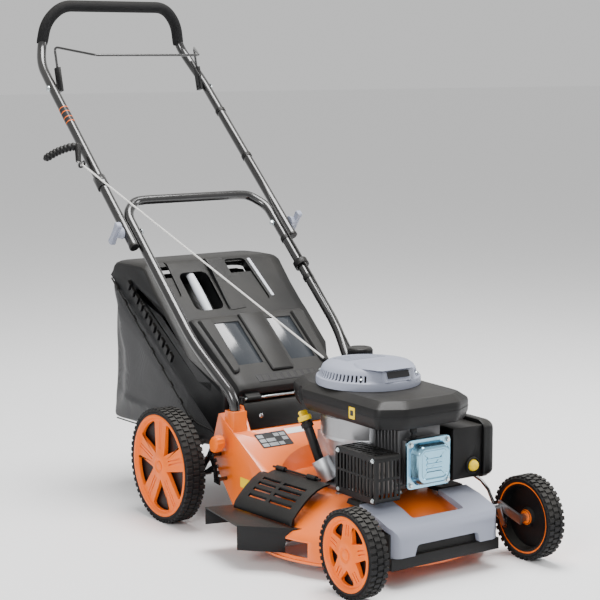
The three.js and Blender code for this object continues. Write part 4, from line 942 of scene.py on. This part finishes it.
bezel = turned([(14.8, -2), (19, -2), (19, 2.4), (17, 4), (14.8, 4)], (143, -182, 214), (0, -1, 0), 56,
               closed=True)
piece("primer_bezel", bezel, BLACK_PLASTIC, "frame", 0.4, slot="black_plastic")
band = turned([(107, 0), (109, 0), (109, 44), (107, 44)], (0, SHAFT_Y, 276), (0, 0, 1), 120, closed=True)
piece("blower_band", band, BARE_STEEL, "frame", 0.5, slot="engine_alloy",
      holes=block(-63, 63, -130, -40, 260, 330))

# %% [markdown]
# ## Front bumper and side cover
# The bumper is one thick grey moulding with a carrying slot, so an outline seen from the side is pushed
# across the mower, and its front corners are cut round. The side cover is a curved lid with rows of long
# slots. It is bent from one profile, which is easier to get right than bending a flat plate afterwards.

# %% Bumper with rounded corners, a carrying slot and two black caps
bumper_outline = [(-274, 66.4), (-259, 66.4), (-259, 119), (-152, 152.4), (-152, 162), (-200, 152),
                  (-246, 137),
                  (-262, 130), (-270, 120), (-274, 104)]


def corner_cutter(sign, x, y, radius, low, high):
    outline = [(x + sign * 20, y - 20), (x + sign * 20, y + radius)]
    for i in range(13):
        angle = math.radians(90 * i / 12)
        outline.append((x - sign * radius + sign * radius * math.cos(angle),
                        y + radius - radius * math.sin(angle)))
    outline.append((x - sign * radius, y - 20))
    return plate(outline, low, high, "z")


bumper_cuts = [
    plate(round_outline([(-72, -240), (72, -240), (66, -100), (-66, -100)], 9), 90, 220, "z"),
    plate(round_outline([(-98, 40), (-84, 90), (84, 90), (98, 40)], 8), -300, -240, "y"),
    block(-148, 148, -257.6, -189, 40, 117),
]
bumper_cuts += [corner_cutter(sign, sign * 150, -275, 30, 40, 200) for sign in (-1, 1)]
piece("bumper_shell", plate(bumper_outline, -150, 150, "x"), GREY_PLASTIC, "frame", 2.2, ("front_bumper",),
      joined(*bumper_cuts), "grey_plastic")
for side, sign in (("right", -1), ("left", 1)):
    x0, x1 = sorted((sign * 78, sign * 148))
    foot = [(x, y, 153.2) for x, y in round_outline([(x0, -152), (x1, -152), (x1, -96), (x0, -96)], 8)]
    top = [(x, y, 163.5) for x, y in round_outline([(x0 + 3, -148), (x1 - 3, -148), (x1 - 3, -99),
                                                    (x0 + 3, -99)], 8)]
    piece(f"bumper_cap_{side}", stacked([foot, top]), BLACK_PLASTIC, "frame", 1.5, slot="black_plastic")
    screw = turned([(0, 3), (4, 3), (6.4, 1.4), (6.4, 0), (0, 0)], (sign * 113, -124, 163.5), (0, 0, 1), 32)
    piece(f"bumper_screw_{side}", screw, ZINC, "frame", slot="zinc")

# %% Ribbed side cover
cover_place = Matrix.Translation((-158, 80, 0)) @ Matrix.Rotation(math.radians(5.5), 4, "Z")


def on_cover(profile, y0, y1):
    return turned_round(plate([(-out, z) for out, z in profile], y0, y1, "y"), cover_place)


cover_profile = [(-4, 181), (12, 179.4), (34, 174), (54, 163.4), (72, 150), (92, 131.6), (104, 118),
                 (106.5, 111),
                 (106, 104), (102, 103), (101, 114), (99, 118.6), (70, 145.8), (52, 158.6), (33, 169),
                 (12, 175.4),
                 (-4, 177)]
cover_slots = []
for low_edge, high_edge in ((40, 47), (54, 61), (68, 75), (82, 89)):
    cover_slots.append(on_cover([(low_edge, 90), (high_edge, 90), (high_edge, 200), (low_edge, 200)],
                                -86, -8))
    cover_slots.append(on_cover([(low_edge, 90), (high_edge, 90), (high_edge, 200), (low_edge, 200)], 4, 66))
cover_slots.append(on_cover([(-30, 60), (40, 60), (-30, 240)], -140, -86))
cover_slots.append(on_cover([(-30, 22), (24, 22), (24, 240), (-30, 240)], 74, 140))
piece("slotted_cover", on_cover(cover_profile, -112, 96), BLACK_PLASTIC, "side_cover", 1.0, ("side_cover",),
      joined(*cover_slots), "black_plastic")
hinge_parts = [turned_round(turned([(0, y0), (6, y0), (6, y1), (0, y1)], (0, 0, 185.5), (0, 1, 0), 32),
                            cover_place)
               for y0, y1 in ((-70, -40), (40, 70))]
hinge_parts.append(turned_round(turned([(0, -84), (2.6, -84), (2.6, 84), (0, 84)], (0, 0, 185.5), (0, 1,
                                                                      0), 20),
                                cover_place))
rim_profile = [(98, 119.5), (107.6, 110), (107.6, 103.6), (98, 103.6)]
hinge_parts.append(on_cover(rim_profile, -112, -107.5))
hinge_parts.append(on_cover(rim_profile, 91.5, 96))
piece("cover_hinge", joined(*hinge_parts), BLACK_PLASTIC, "side_cover", 0.4, slot="black_plastic")

# %% Clamp knobs and the ribbed height knob
for side, sign in (("right", -1), ("left", 1)):
    face = sign * (UPPER_X + TUBE_R + 0.5)
    hub = turned([(0, 0), (15, 0), (15, 3), (13.6, 6), (11.5, 16), (0, 16)], (face, *CLAMP), (sign, 0, 0), 48)
    axis_turn = math.radians(128)
    outline = []
    for along, across in ((-33, -6), (-30, -9.5), (-12, -7.2), (12, -7.2), (30, -9.5), (33, -6), (34,
                                                                      0), (33, 6),
                          (30, 9.5), (12, 7.2), (-12, 7.2), (-30, 9.5), (-33, 6), (-34, 0)):
        outline.append((CLAMP[0] + along * math.cos(axis_turn) - across * math.sin(axis_turn),
                        CLAMP[1] + along * math.sin(axis_turn) + across * math.cos(axis_turn)))
    low, high = sorted((face + sign * 13, face + sign * 27.4))
    bar_shape = plate(round_outline(outline, 4, 3), low, high, "x")
    body = f"clamp_knob_{side}"
    piece(f"{body}_wing", bar_shape, GREY_PLASTIC, body, 2.6, (body,), slot="grey_plastic")
    piece(f"{body}_hub", hub, GREY_PLASTIC, body, 0.8, slot="grey_plastic")
    inner = sign * (LOWER_X - TUBE_R - 0.5)
    hex_bolt(f"{body}_head", (inner, *CLAMP), (-sign, 0, 0), 6.5, body)
knob_x, knob_y, knob_z = middle("height_knob")
low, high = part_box("height_knob")
knob_half = (high[0] - low[0]) * 500
knob_turn = math.radians(131.5)
knob_rings = []
for across, grow in ((-1, 0.62), (-0.94, 0.8), (-0.72, 0.95), (-0.3, 1.0), (0.3, 1.0), (0.72, 0.95),
                     (0.94, 0.8),
                     (1, 0.62)):
    ring = []
    for k in range(96):
        angle = 2 * math.pi * k / 96
        ripple = 1 - 0.06 * (0.5 + 0.5 * math.cos(12 * angle))
        along, side_way = 24 * grow * ripple * math.cos(angle), 18 * grow * ripple * math.sin(angle)
        ring.append((knob_x + across * knob_half,
                     knob_y + along * math.cos(knob_turn) - side_way * math.sin(knob_turn),
                     knob_z + along * math.sin(knob_turn) + side_way * math.cos(knob_turn)))
    knob_rings.append(ring)
piece("height_ball", stacked(knob_rings), ORANGE_PLASTIC, "height_lever", 0.0, ("height_knob",),
      slot="orange_plastic")
print("knob", round(knob_x), round(knob_y), round(knob_z))

# %% [markdown]
# ## Starter rope and grip
# The rope runs taut from the recoil cover to a guide on the right tube, held by the recoil spring. Rope
# is laid in strands, so its finish carries a fine spiral. The stretch beyond the guide is a separate
# short piece.

# %% Rope strands as a shared group
strands, given, result = new_group(
    "laid_strands", [("Colour", "NodeSocketColor", (0.8, 0.8, 0.78, 1)), ("Pitch", "NodeSocketFloat", 900.0)],
    [("Colour", "NodeSocketColor"), ("Height", "NodeSocketFloat")])
place = strands.nodes.new("ShaderNodeTexCoord").outputs["Object"]
wave = strands.nodes.new("ShaderNodeTexWave")
wave.bands_direction = "DIAGONAL"
wave.inputs["Distortion"].default_value = 1.5
strands.links.new(place, wave.inputs["Vector"])
strands.links.new(given.outputs["Pitch"], wave.inputs["Scale"])
shaded_strand = mix_colours(strands, math_node(strands, "MULTIPLY", wave.outputs["Fac"], 0.35),
                            given.outputs["Colour"], (0.3, 0.29, 0.27, 1))
strands.links.new(shaded_strand, result.inputs["Colour"])
strands.links.new(wave.outputs["Fac"], result.inputs["Height"])

ROPE_FINISH = bpy.data.materials.new("starter_rope_weave")
ROPE_FINISH.use_nodes = True
tree = ROPE_FINISH.node_tree
rope_shader = tree.nodes["Principled BSDF"]
rope_group = tree.nodes.new("ShaderNodeGroup")
rope_group.node_tree = strands
rope_group.inputs["Colour"].default_value = (0.74, 0.73, 0.70, 1)
rope_group.inputs["Pitch"].default_value = 420
tree.links.new(rope_group.outputs["Colour"], rope_shader.inputs["Base Color"])
rope_bump = tree.nodes.new("ShaderNodeBump")
rope_bump.inputs["Strength"].default_value = 0.6
rope_bump.inputs["Distance"].default_value = 0.0005
tree.links.new(rope_group.outputs["Height"], rope_bump.inputs["Height"])
tree.links.new(rope_bump.outputs["Normal"], rope_shader.inputs["Normal"])
rope_shader.inputs["Roughness"].default_value = 0.8
rope_shader.inputs["Sheen Weight"].default_value = 0.2

# %% The rope from the engine to its guide, and the short stretch beyond it
ROPE_R = 2.25
rope_end = rope_guide + rope_line * 6
rope_route = divided([rope_start + rope_line * 1, rope_end], 24)
rope = piece("rope_run", sweep(rope_route, ROPE_R, 14), ROPE_FINISH, None, 0.0, ("starter_rope",),
             slot="rope")
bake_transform(rope)
rope_tail_route = divided([rope_guide + rope_line * 2, rope_guide + rope_line * 20], 0.6)
rope_tail = piece("rope_tail", sweep(rope_tail_route, ROPE_R * 0.96, 14), ROPE_FINISH, None, 0.0, slot="rope")
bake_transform(rope_tail)

# %% Curved grip with finger ribs
grip_centre = Vector((-301, 927, 886))
grip_axis = Vector((0.806, -0.522, 0.267)).normalized()


def on_grip(along, lift=(0, 0, 0)):
    return grip_centre + grip_axis * along + Vector(lift)


grip_route = rounded([on_grip(-56, (0, 4, -12)), on_grip(-20), on_grip(20, (0, 0, 2)), on_grip(50, (0,
                                                                      4, -10))],
                     16, 10)


def grip_radius(fraction):
    wave_height = 0.5 - 0.5 * math.cos(fraction * 2 * math.pi * 11)
    ends = min(1.0, 0.35 + 9 * min(fraction, 1 - fraction))
    return (9.2 + 1.9 * wave_height) * ends


stem_end = rope_guide + rope_line * 14
stem_start = on_grip(34)
stem_route = divided([stem_start, stem_start.lerp(stem_end, 0.5), stem_end], 3)
piece("grip_body", sweep(divided(grip_route, 0.9), grip_radius, 32), BLACK_PLASTIC, "starter_grip", 0.0,
      ("starter_grip",), slot="black_plastic")
piece("grip_stem", sweep(stem_route, lambda f: 9 - 2.2 * f, 28), BLACK_PLASTIC, "starter_grip", 0.0,
      slot="black_plastic")
print("rope", round((rope_route[-1] - rope_route[0]).length), "mm")

# %% [markdown]
# ## Rear flap
# The flap is a spring-loaded lid over the discharge port, with two smoked windows that show how full the
# bag is. It is modelled on its own sloping plane: x across, a distance up the slope, and a rise off it.
# The middle strip stands proud of the windows, and the sides roll down over the tunnel.

# %% Flap shell, frames and label recess
HINGE = (335, 310)
FLAP_TURN = math.radians(37.5)


def on_flap(x, along, rise):
    return (x, HINGE[0] + math.cos(FLAP_TURN) * along - math.sin(FLAP_TURN) * rise,
            HINGE[1] + math.sin(FLAP_TURN) * along + math.cos(FLAP_TURN) * rise)


def flap_half(along):
    return 147 + 24 * along / 262


def flap_ring(along, drop, inward=0.0, low=-4.0):
    half = flap_half(along) - inward
    high = 20.0 - drop
    across = [(-half, low), (-half, high - 14), (-half + 4, high - 5), (-half + 13, high), (-118, high),
              (118, high), (half - 13, high), (half - 4, high - 5), (half, high - 14), (half, low)]
    return [on_flap(x, along, rise) for x, rise in across]


flap_shape = stacked([flap_ring(14, 9), flap_ring(17, 4), flap_ring(24, 1), flap_ring(34, 0),
                      flap_ring(236, 0),
                      flap_ring(254, 1.5), flap_ring(262, 6)])
flap_inside = stacked([flap_ring(17, 10, 3, -12), flap_ring(34, 3, 3, -12), flap_ring(236, 3, 3, -12),
                       flap_ring(259, 7, 3, -12)])


def flap_plate(outline, low, high):
    count = len(outline)
    points = [on_flap(x, along, rise) for rise in (low, high) for x, along in outline]
    faces = [tuple(reversed(range(count))), tuple(range(count, 2 * count))]
    for i in range(count):
        j = (i + 1) % count
        faces.append((i, j, j + count, i + count))
    return [Vector(point) for point in points], faces


window_plans = [[(-112, 92), (-42, 92), (-42, 236), (-112, 236)], [(42, 92), (112, 92), (112, 236), (42,
                                                                      236)]]
flap_cuts = [flap_inside] + [flap_plate(plan, -2, 40) for plan in window_plans]
piece("flap_shell", flap_shape, SATIN_PLASTIC, "rear_flap", 1.0, ("rear_flap",), joined(*flap_cuts),
      "satin_plastic")
strip = stacked([[on_flap(x, along, rise) for x, along in
                  round_outline([(-32 + grow, 60 + grow), (32 - grow, 60 + grow), (36 - grow, 258 - grow),
                                 (-36 + grow, 258 - grow)], 6)] for grow, rise in ((0, 19), (1, 24), (4,
                                                                      26.5))])
piece("flap_middle", strip, SATIN_PLASTIC, "rear_flap", 0.8, slot="satin_plastic")
for index, sign in enumerate((-1, 1)):
    wing_outline = [(sign * 118, 70), (sign * 140, 62), (sign * 156, 250), (sign * 118, 250)]
    rings = []
    for grow, rise in ((0, 19), (2, 25), (6, 28)):
        centre_x = sign * 133
        rings.append([on_flap(x + (centre_x - x) * grow / 24, along + (160 - along) * grow / 95, rise)
                      for x, along in round_outline(wing_outline, 8)])
    piece(f"flap_shoulder_{index}", stacked(rings), SATIN_PLASTIC, "rear_flap", 1.2, slot="satin_plastic")
label = flap_plate(round_outline([(-84, 30), (84, 30), (86, 54), (-86, 54)], 3), 19.6, 20.8)
piece("flap_label", label, DARK_LABEL, "rear_flap", 0.3, slot="satin_plastic")
label_lines = [flap_plate([(-70 + i * 20, 33), (-58 + i * 20, 33), (-58 + i * 20, 51), (-70 + i * 20,
                                                                      51)], 20.6, 21.1)
               for i in range(8)]
piece("flap_label_blocks", joined(*label_lines), SATIN_PLASTIC, "rear_flap", 0.2, slot="satin_plastic")
knuckles = []
for x0, x1 in ((-130, -90), (90, 130)):
    knuckles.append(turned([(3.6, 0), (7, 0), (7, x1 - x0), (3.6, x1 - x0)], (x0, *HINGE), (1, 0, 0),
                           40, True))
    knuckles.append(flap_plate([(x0, 5), (x1, 5), (x1, 20), (x0, 20)], -3.6, 5))
piece("flap_knuckles", joined(*knuckles), SATIN_PLASTIC, "rear_flap", 0.5, slot="satin_plastic")

# %% [markdown]
# ## Grass collector
# The collector is a moulded lid over a fabric bag. The lid is one soft-cornered form: a side profile that
# is carried across the mower and rolled over at both ends, so the shoulders catch the light. Recesses are
# cut afterwards, on the same sloping plane that the real mould would draw from.

# %% Lid solid with rolled shoulders
LID_EDGE = (572, 482)
LID_TURN = math.atan2(604 - 482, 708 - 572)
BAG_HALF = 205.0
lid_profile = [(404, 196), (876, 560), (874, 574), (866, 588), (856, 596), (842, 600), (775, 603), (716,
                                                                      603.5),
               (702, 598.6), (640, 543), (580, 489.2), (560, 472.2), (470, 390), (396, 322.9), (385, 306),
               (386, 292)]


def plan_half(y):
    blend_in = min(1.0, max(0.0, (y - 424) / 54))
    return 160 + (BAG_HALF - 160) * blend_in * blend_in * (3 - 2 * blend_in)


def lid_solid(inset, low_shift):
    centre_y = sum(y for y, z in lid_profile) / len(lid_profile)
    centre_z = sum(z for y, z in lid_profile) / len(lid_profile)
    rings = []
    for step in (-1, -0.992, -0.965, -0.92, -0.84, -0.5, 0, 0.5, 0.84, 0.92, 0.965, 0.992, 1):
        edge = max(0.0, (abs(step) - 0.84) / 0.16)
        drop = 15 * (1 - math.sqrt(max(0.0, 1 - edge * edge)))
        ring = []
        for index, (y, z) in enumerate(lid_profile):
            toward = Vector((centre_y - y, centre_z - z))
            toward.normalize()
            along_seam = index in (0, 1)
            shift = inset + (drop if not along_seam else drop * 0.15)
            ny, nz = y + toward.x * shift, z + toward.y * shift
            if along_seam:
                ny, nz = ny + 0.61 * low_shift, nz - 0.79 * low_shift
            ring.append((step * (plan_half(ny) - inset), ny, nz))
        rings.append(ring)
    return stacked(rings)


def on_lid(x, along, rise):
    return (x, LID_EDGE[0] + along * math.cos(LID_TURN) - rise * math.sin(LID_TURN),
            LID_EDGE[1] + along * math.sin(LID_TURN) + rise * math.cos(LID_TURN))


def lid_plate(outline, low, high, taper=0.0):
    rings = []
    middle_x = sum(x for x, a in outline) / len(outline)
    middle_a = sum(a for x, a in outline) / len(outline)
    for rise, grow in ((low, 0.0), (high, taper)):
        rings.append([on_lid(x + (x - middle_x) * grow, a + (a - middle_a) * grow, rise) for x, a in outline])
    return stacked(rings)


tray = round_outline([(-118, 14), (-34, 14), (-34, 142), (-118, 142)], 22)
inner_solid = lid_solid(9, 26)
throat = plate([(340, 212), (392, 204), (424, 222), (404, 316), (340, 312)], -148, 148, "x")
lid_cuts = [inner_solid, throat, lid_plate(tray, -30, 60)]
side_panel = round_outline([(-192, 66), (-138, 60), (-134, 188), (-186, 196)], 16)
lid_cuts.append(lid_plate(side_panel, -5, 30))
pocket = round_outline([(40, 26), (112, 30), (96, 176), (34, 176)], 14)
lid_cuts.append(lid_plate(pocket, -5, 30))
lid_piece = piece("collector_lid", lid_solid(0, 0), SATIN_PLASTIC, "collector", 0.0, ("collector_top",), None,
                  "satin_plastic")
for cut in lid_cuts:
    pierce(lid_piece, cut)
shade(lid_piece)
soften_edges(lid_piece, 1.3)
print("lid", len(lid_piece.data.polygons), "faces")

# %% Handle pocket, carry bar, fin, channel and trim strips
pocket_outer = round_outline([(-121, 11), (-31, 11), (-31, 145), (-121, 145)], 24)
pocket_shell = lid_plate(pocket_outer, -48, -1.5)
piece("handle_pocket", pocket_shell, SATIN_PLASTIC, "collector", 0.8, (), lid_plate(tray, -45, 20),
      "satin_plastic")
bar_route = [Vector(on_lid(-76, 14.4, -13)), Vector(on_lid(-76, 141.6, -13))]
piece("carry_bar", sweep(divided(bar_route, 8), lambda f: 10 + 1.6 * math.sin(f * math.pi), 40), PALE_PLASTIC,
      "collector", 0.0, ("collector_handle",), slot="grey_plastic")
fin = [on_lid(0, 8, 0), on_lid(0, 16, 6), on_lid(0, 150, 14), on_lid(0, 176, 10), on_lid(0, 182, 0)]
fin_shape = plate([(y, z) for x, y, z in fin], -26, -22, "x")
piece("lid_fin", fin_shape, SATIN_PLASTIC, "collector", 1.0, slot="satin_plastic")
channel_shape = lid_plate([(-20, 6), (26, 10), (30, 182), (-20, 182)], 0.0, 1.4)
piece("lid_channel", channel_shape, BLACK_PLASTIC, "collector", 0.5, slot="black_plastic")
stripe = lid_plate(round_outline([(118, 40), (126, 40), (112, 172), (104, 172)], 3), -0.4, 2.4)
piece("lid_stripe", stripe, PALE_PLASTIC, "collector", 0.8, slot="grey_plastic")
louvres = []
for side, sign in (("right", -1), ("left", 1)):
    for k in range(11):
        y = 566 + k * 21
        z = 372 + k * 15.6
        x0, x1 = sorted((sign * 199, sign * 207.4))
        louvres.append(plate([(y, z), (y + 13, z + 10), (y + 3, z + 27), (y - 9, z + 17)], x0, x1, "x"))
piece("lid_louvres", joined(*louvres), BLACK_PLASTIC, "collector", 1.2, slot="black_plastic")

# %% [markdown]
# ### The bag
# The bag is woven polyester with a coated inside, sewn to the lid along a diagonal seam. Full of air it
# swells between the seams and hangs a little lower at the back. A closed copy is remeshed and inflated
# with the cloth solver, its points are kept near the pattern, and the top is opened along the seam.

# %% Weave as a shared group, and the cloth's finish
weave, given, result = new_group(
    "woven_cloth",
    [("Colour", "NodeSocketColor", (0.02, 0.02, 0.02, 1)), ("Thread Scale", "NodeSocketFloat", 700.0)],
    [("Colour", "NodeSocketColor"), ("Roughness", "NodeSocketFloat"), ("Height", "NodeSocketFloat")])
place = weave.nodes.new("ShaderNodeTexCoord").outputs["Object"]
threads = []
for direction in ("X", "Z"):
    wave = weave.nodes.new("ShaderNodeTexWave")
    wave.bands_direction = direction
    wave.inputs["Distortion"].default_value = 0.4
    wave.inputs["Detail"].default_value = 1
    weave.links.new(place, wave.inputs["Vector"])
    weave.links.new(given.outputs["Thread Scale"], wave.inputs["Scale"])
    threads.append(wave.outputs["Fac"])
crossing = math_node(weave, "MULTIPLY", threads[0], threads[1])
rubbed = noise_on(weave, place, 14.0, 5.0)
lift = math_node(weave, "MULTIPLY", math_node(weave, "ADD", crossing, rubbed), 0.4)
lighter = mix_colours(weave, lift, given.outputs["Colour"], (0.055, 0.056, 0.06, 1))
weave.links.new(lighter, result.inputs["Colour"])
weave.links.new(math_node(weave, "ADD", 0.62, math_node(weave, "MULTIPLY", rubbed, 0.25)),
                result.inputs["Roughness"])
weave.links.new(crossing, result.inputs["Height"])

BAG_CLOTH = bpy.data.materials.new("bag_weave")
BAG_CLOTH.use_nodes = True
tree = BAG_CLOTH.node_tree
cloth_shader = tree.nodes["Principled BSDF"]
cloth_group = tree.nodes.new("ShaderNodeGroup")
cloth_group.node_tree = weave
cloth_group.inputs["Colour"].default_value = (0.006, 0.006, 0.007, 1)
cloth_group.inputs["Thread Scale"].default_value = 560
tree.links.new(cloth_group.outputs["Colour"], cloth_shader.inputs["Base Color"])
tree.links.new(cloth_group.outputs["Roughness"], cloth_shader.inputs["Roughness"])
cloth_bump = tree.nodes.new("ShaderNodeBump")
cloth_bump.inputs["Strength"].default_value = 0.5
cloth_bump.inputs["Distance"].default_value = 0.0006
tree.links.new(cloth_group.outputs["Height"], cloth_bump.inputs["Height"])
tree.links.new(cloth_bump.outputs["Normal"], cloth_shader.inputs["Normal"])
cloth_shader.inputs["Sheen Weight"].default_value = 0.25
cloth_shader.inputs["Sheen Roughness"].default_value = 0.5

# %% Bag pattern, inflated
bag_profile = [(406, 192), (428, 184), (520, 180), (650, 178), (780, 174), (872, 171), (893, 172), (898, 180),
               (891, 260), (886, 340), (880, 450), (874, 556)]


def bag_solid(inset):
    centre = Vector((700, 300))
    rings = []
    for step in (-1, -0.985, -0.95, -0.88, -0.6, -0.3, 0, 0.3, 0.6, 0.88, 0.95, 0.985, 1):
        edge = max(0.0, (abs(step) - 0.88) / 0.12)
        drop = 12 * (1 - math.sqrt(max(0.0, 1 - edge * edge)))
        ring = []
        for y, z in bag_profile:
            toward = (centre - Vector((y, z))).normalized() * (inset + drop)
            ny, nz = y + toward.x, z + toward.y
            ring.append((step * (plan_half(ny) - inset), ny, nz))
        rings.append(ring)
    return stacked(rings)


bag = mesh_object("bag_fabric", bag_solid(3.0))
remesh = bag.modifiers.new("even_mesh", "REMESH")
remesh.mode = "VOXEL"
remesh.voxel_size = 0.006
settle(bag)
pattern = [vertex.co.copy() for vertex in bag.data.vertices]
FRAMES = 20
seam_foot, seam_head = at(0, 404, 196), at(0, 876, 560)
seam_along = (seam_head - seam_foot).normalized()
seam_up = Vector((0, -seam_along.z, seam_along.y))
pinned = bag.vertex_groups.new(name="sewn")
held = [i for i, point in enumerate(pattern) if (point - seam_foot).dot(seam_up) > -0.012]
pinned.add(held, 1.0, "REPLACE")
cloth = bag.modifiers.new("inflate", "CLOTH")
cloth.settings.use_pressure = True
cloth.settings.uniform_pressure_force = 4
cloth.settings.effector_weights.gravity = 0
cloth.settings.quality = 5
cloth.settings.vertex_group_mass = "sewn"
cloth.point_cache.frame_start = 1
cloth.point_cache.frame_end = FRAMES
for step in range(1, FRAMES + 1):
    bpy.context.scene.frame_set(step)
settle(bag)
bpy.context.scene.frame_set(1)
print("bag points", len(pattern), "simulated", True)

# %% Keep the bag near its pattern, add creases, open its top and give it thickness
CAP = 0.009
for vertex, start in zip(bag.data.vertices, pattern):
    moved = vertex.co - start
    if moved.length > CAP:
        moved = moved.normalized() * CAP
    below = -(start - seam_foot).dot(seam_up)
    hold = min(1.0, max(0.0, below / 0.05))
    crease = noise.noise(Vector((start.x * 7, start.y * 6 + start.z * 9, start.z * 3 + 4)))
    fine_crease = noise.noise(Vector((start.x * 26, start.y * 18, start.z * 22)))
    inward = Vector((-1 if start.x > SHAFT.x else 1, 0,
                     0)) if abs(start.x - SHAFT.x) > 0.17 else Vector((0, -1, 0))
    vertex.co = start + moved * hold + inward * hold * (0.0035 * (crease + 0.4) + 0.0012 * fine_crease)
work = bmesh.new()
work.from_mesh(bag.data)
top = [vertex for vertex in work.verts if (vertex.co - seam_foot).dot(seam_up) > -0.0045]
bmesh.ops.delete(work, geom=top, context="VERTS")
work.to_mesh(bag.data)
work.free()
thick = bag.modifiers.new("thickness", "SOLIDIFY")
thick.thickness = 0.0015
thick.offset = -1
smooth = bag.modifiers.new("finer", "SUBSURF")
smooth.levels = smooth.render_levels = 1
settle(bag)
bag.data.materials.clear()
bag.data.materials.append(BAG_CLOTH)
for polygon in bag.data.polygons:
    polygon.use_smooth = True
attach(bag, "collector")
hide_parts("grass_bag")
print("bag", len(bag.data.vertices), "points")

# %% Seam band, clips and piping
for side, sign in (("right", -1), ("left", 1)):
    band_route = []
    for k in range(25):
        y = 420 + (868 - 420) * k / 24
        z = 196 + (y - 404) * (364 / 472)
        band_route.append(Vector((sign * (plan_half(y) + 0.2), y, z - 3)))
    piece(f"seam_band_{side}", sweep(band_route, 2.3, 12), BLACK_PLASTIC, "collector", slot="black_plastic")
    clips = []
    for k in range(9):
        y = 470 + k * 46
        z = 196 + (y - 404) * (364 / 472)
        x = sign * (plan_half(y) + 0.6)
        x0, x1 = sorted((x - sign * 4, x + sign * 2))
        clips.append(plate([(y, z - 9), (y + 13, z + 1), (y + 8, z + 8), (y - 5, z - 2)], x0, x1, "x"))
    piece(f"seam_clips_{side}", joined(*clips), BLACK_PLASTIC, "collector", 0.6, slot="black_plastic")
    piping = [Vector((sign * 196, y, z)) for y, z in ((430, 190), (520, 186), (650, 184), (780, 180),
                                                      (870, 178))]
    piece(f"bag_piping_{side}", sweep(divided(piping, 12), 2.0, 12), BLACK_PLASTIC, "collector",
          slot="black_plastic")
print("collector done")

# %% [markdown]
# ## Plates, stickers and fixings
# What makes a machine look real is what was fixed to it last: a rating plate, a white strip, plain yellow
# stickers, a band of colour on the tube and the screws of the hinge block. All of them carry no text.
# Flat plates are set on the deck's slope, whose height grows by 0.55 mm for every millimetre backwards.

# %% Deck plates on the slope
DECK_SLOPE = 0.55


def on_slope(x, y, lift=0.0):
    return (x, y - 0.482 * lift, 231 + DECK_SLOPE * (y - 268) + 0.876 * lift)


def slope_plate(outline, low, high):
    return stacked([[on_slope(x, y, lift) for x, y in outline] for lift in (low, high)])


SILVER_LABEL = finish("silver_plate", (0.30, 0.31, 0.32), 0.32, 0.85, drift=0.25, grain=260, depth=0.05)
rating = slope_plate(round_outline([(-148, 232), (-62, 232), (-62, 277), (-148, 277)], 3), 0.1, 1.0)
piece("rating_plate", rating, DARK_LABEL, "frame", 0.2, slot="black_plastic")
cells = []
for row in range(3):
    for k, (x0, x1) in enumerate(((-144, -128), (-125, -101), (-98, -84), (-81, -66))):
        if (row + k) % 4 != 3:
            y0 = 235 + row * 13.6
            cells.append(slope_plate([(x0, y0), (x1, y0), (x1, y0 + 9.6), (x0, y0 + 9.6)], 0.9, 1.25))
piece("rating_cells", joined(*cells), SILVER_LABEL, "frame", 0.0, slot="engine_alloy")
white_strip = slope_plate(round_outline([(-60, 264), (16, 264), (16, 281), (-60, 281)], 2), 0.1, 0.9)
piece("white_strip", white_strip, WHITE_LABEL, "frame", 0.2, slot="zinc")

# %% Yellow stickers and the tube's band of colour
YELLOW_LABEL = finish("yellow_sticker", (0.92, 0.62, 0.0), 0.35, drift=0.04, grain=300, depth=0.02)


def sticker(name, centre, normal, upright, width, height, material=None, body="frame"):
    out = Vector(normal).normalized()
    up = (Vector(upright) - out * Vector(upright).dot(out)).normalized()
    side = up.cross(out)
    rings = []
    for level in (0.15, 0.75):
        rings.append([Vector(centre) + side * a + up * b + out * level
                      for a, b in round_outline([(-width / 2, -height / 2), (width / 2, -height / 2),
                                                 (width / 2, height / 2), (-width / 2, height / 2)], 2, 3)])
    return piece(name, stacked(rings), material or YELLOW_LABEL, body, 0.1, slot="yellow_plastic")


sticker("shroud_sticker", (-129.8, -96, 352), (-1, 0, 0), (0, 0, 1), 22, 26)
sticker("shroud_sticker_mark", (-130.3, -96, 352), (-1, 0, 0), (0, 0, 1), 11, 12, DARK_LABEL)
sticker("housing_sticker", (-195, 232, 132), (-1, 0, 0), (0, 0, 1), 58, 24)
tube_low, tube_high = Vector(on_handle(-UPPER_X, 398)), Vector(on_handle(-UPPER_X, 452))
band_shapes = [sweep([tube_low.lerp(tube_high, a), tube_low.lerp(tube_high, b)], 12.75, 40)
               for a, b in ((0, 0.04), (0.96, 1), (0.3, 0.34), (0.66, 0.7))]
piece("tube_band", joined(*band_shapes), ORANGE_PLASTIC, "upper_handle", slot="orange_plastic")
base_band = sweep([tube_low, tube_high], 12.62, 40)
piece("tube_band_ground", base_band, DARK_LABEL, "upper_handle", slot="black_plastic")

# %% Hinge block screws and deck bolts
panel_low, panel_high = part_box("hinge_panel")
panel_front = (panel_low[1] - SHAFT.y) * 1000 + SHAFT_Y
panel_z = (panel_low[2] + panel_high[2]) * 500
for index, x in enumerate((-118, 118)):
    screw = turned([(0, 3), (3.4, 2.8), (5.6, 1.2), (5.8, 0), (0, 0)], (x, panel_front, panel_z - 4),
                   (0, -1, 0), 32)
    piece(f"hinge_screw_{index}", screw, ZINC, "frame", slot="zinc")
print("hinge panel", round(panel_front), round(panel_z))
for k in range(5):
    turn = math.radians(200 + k * 35)
    hex_bolt(f"deck_bolt_{k}", (118 * math.cos(turn), SHAFT_Y + 118 * math.sin(turn), 152.4), (0, 0, 1), 6.5)
print("fixings done")
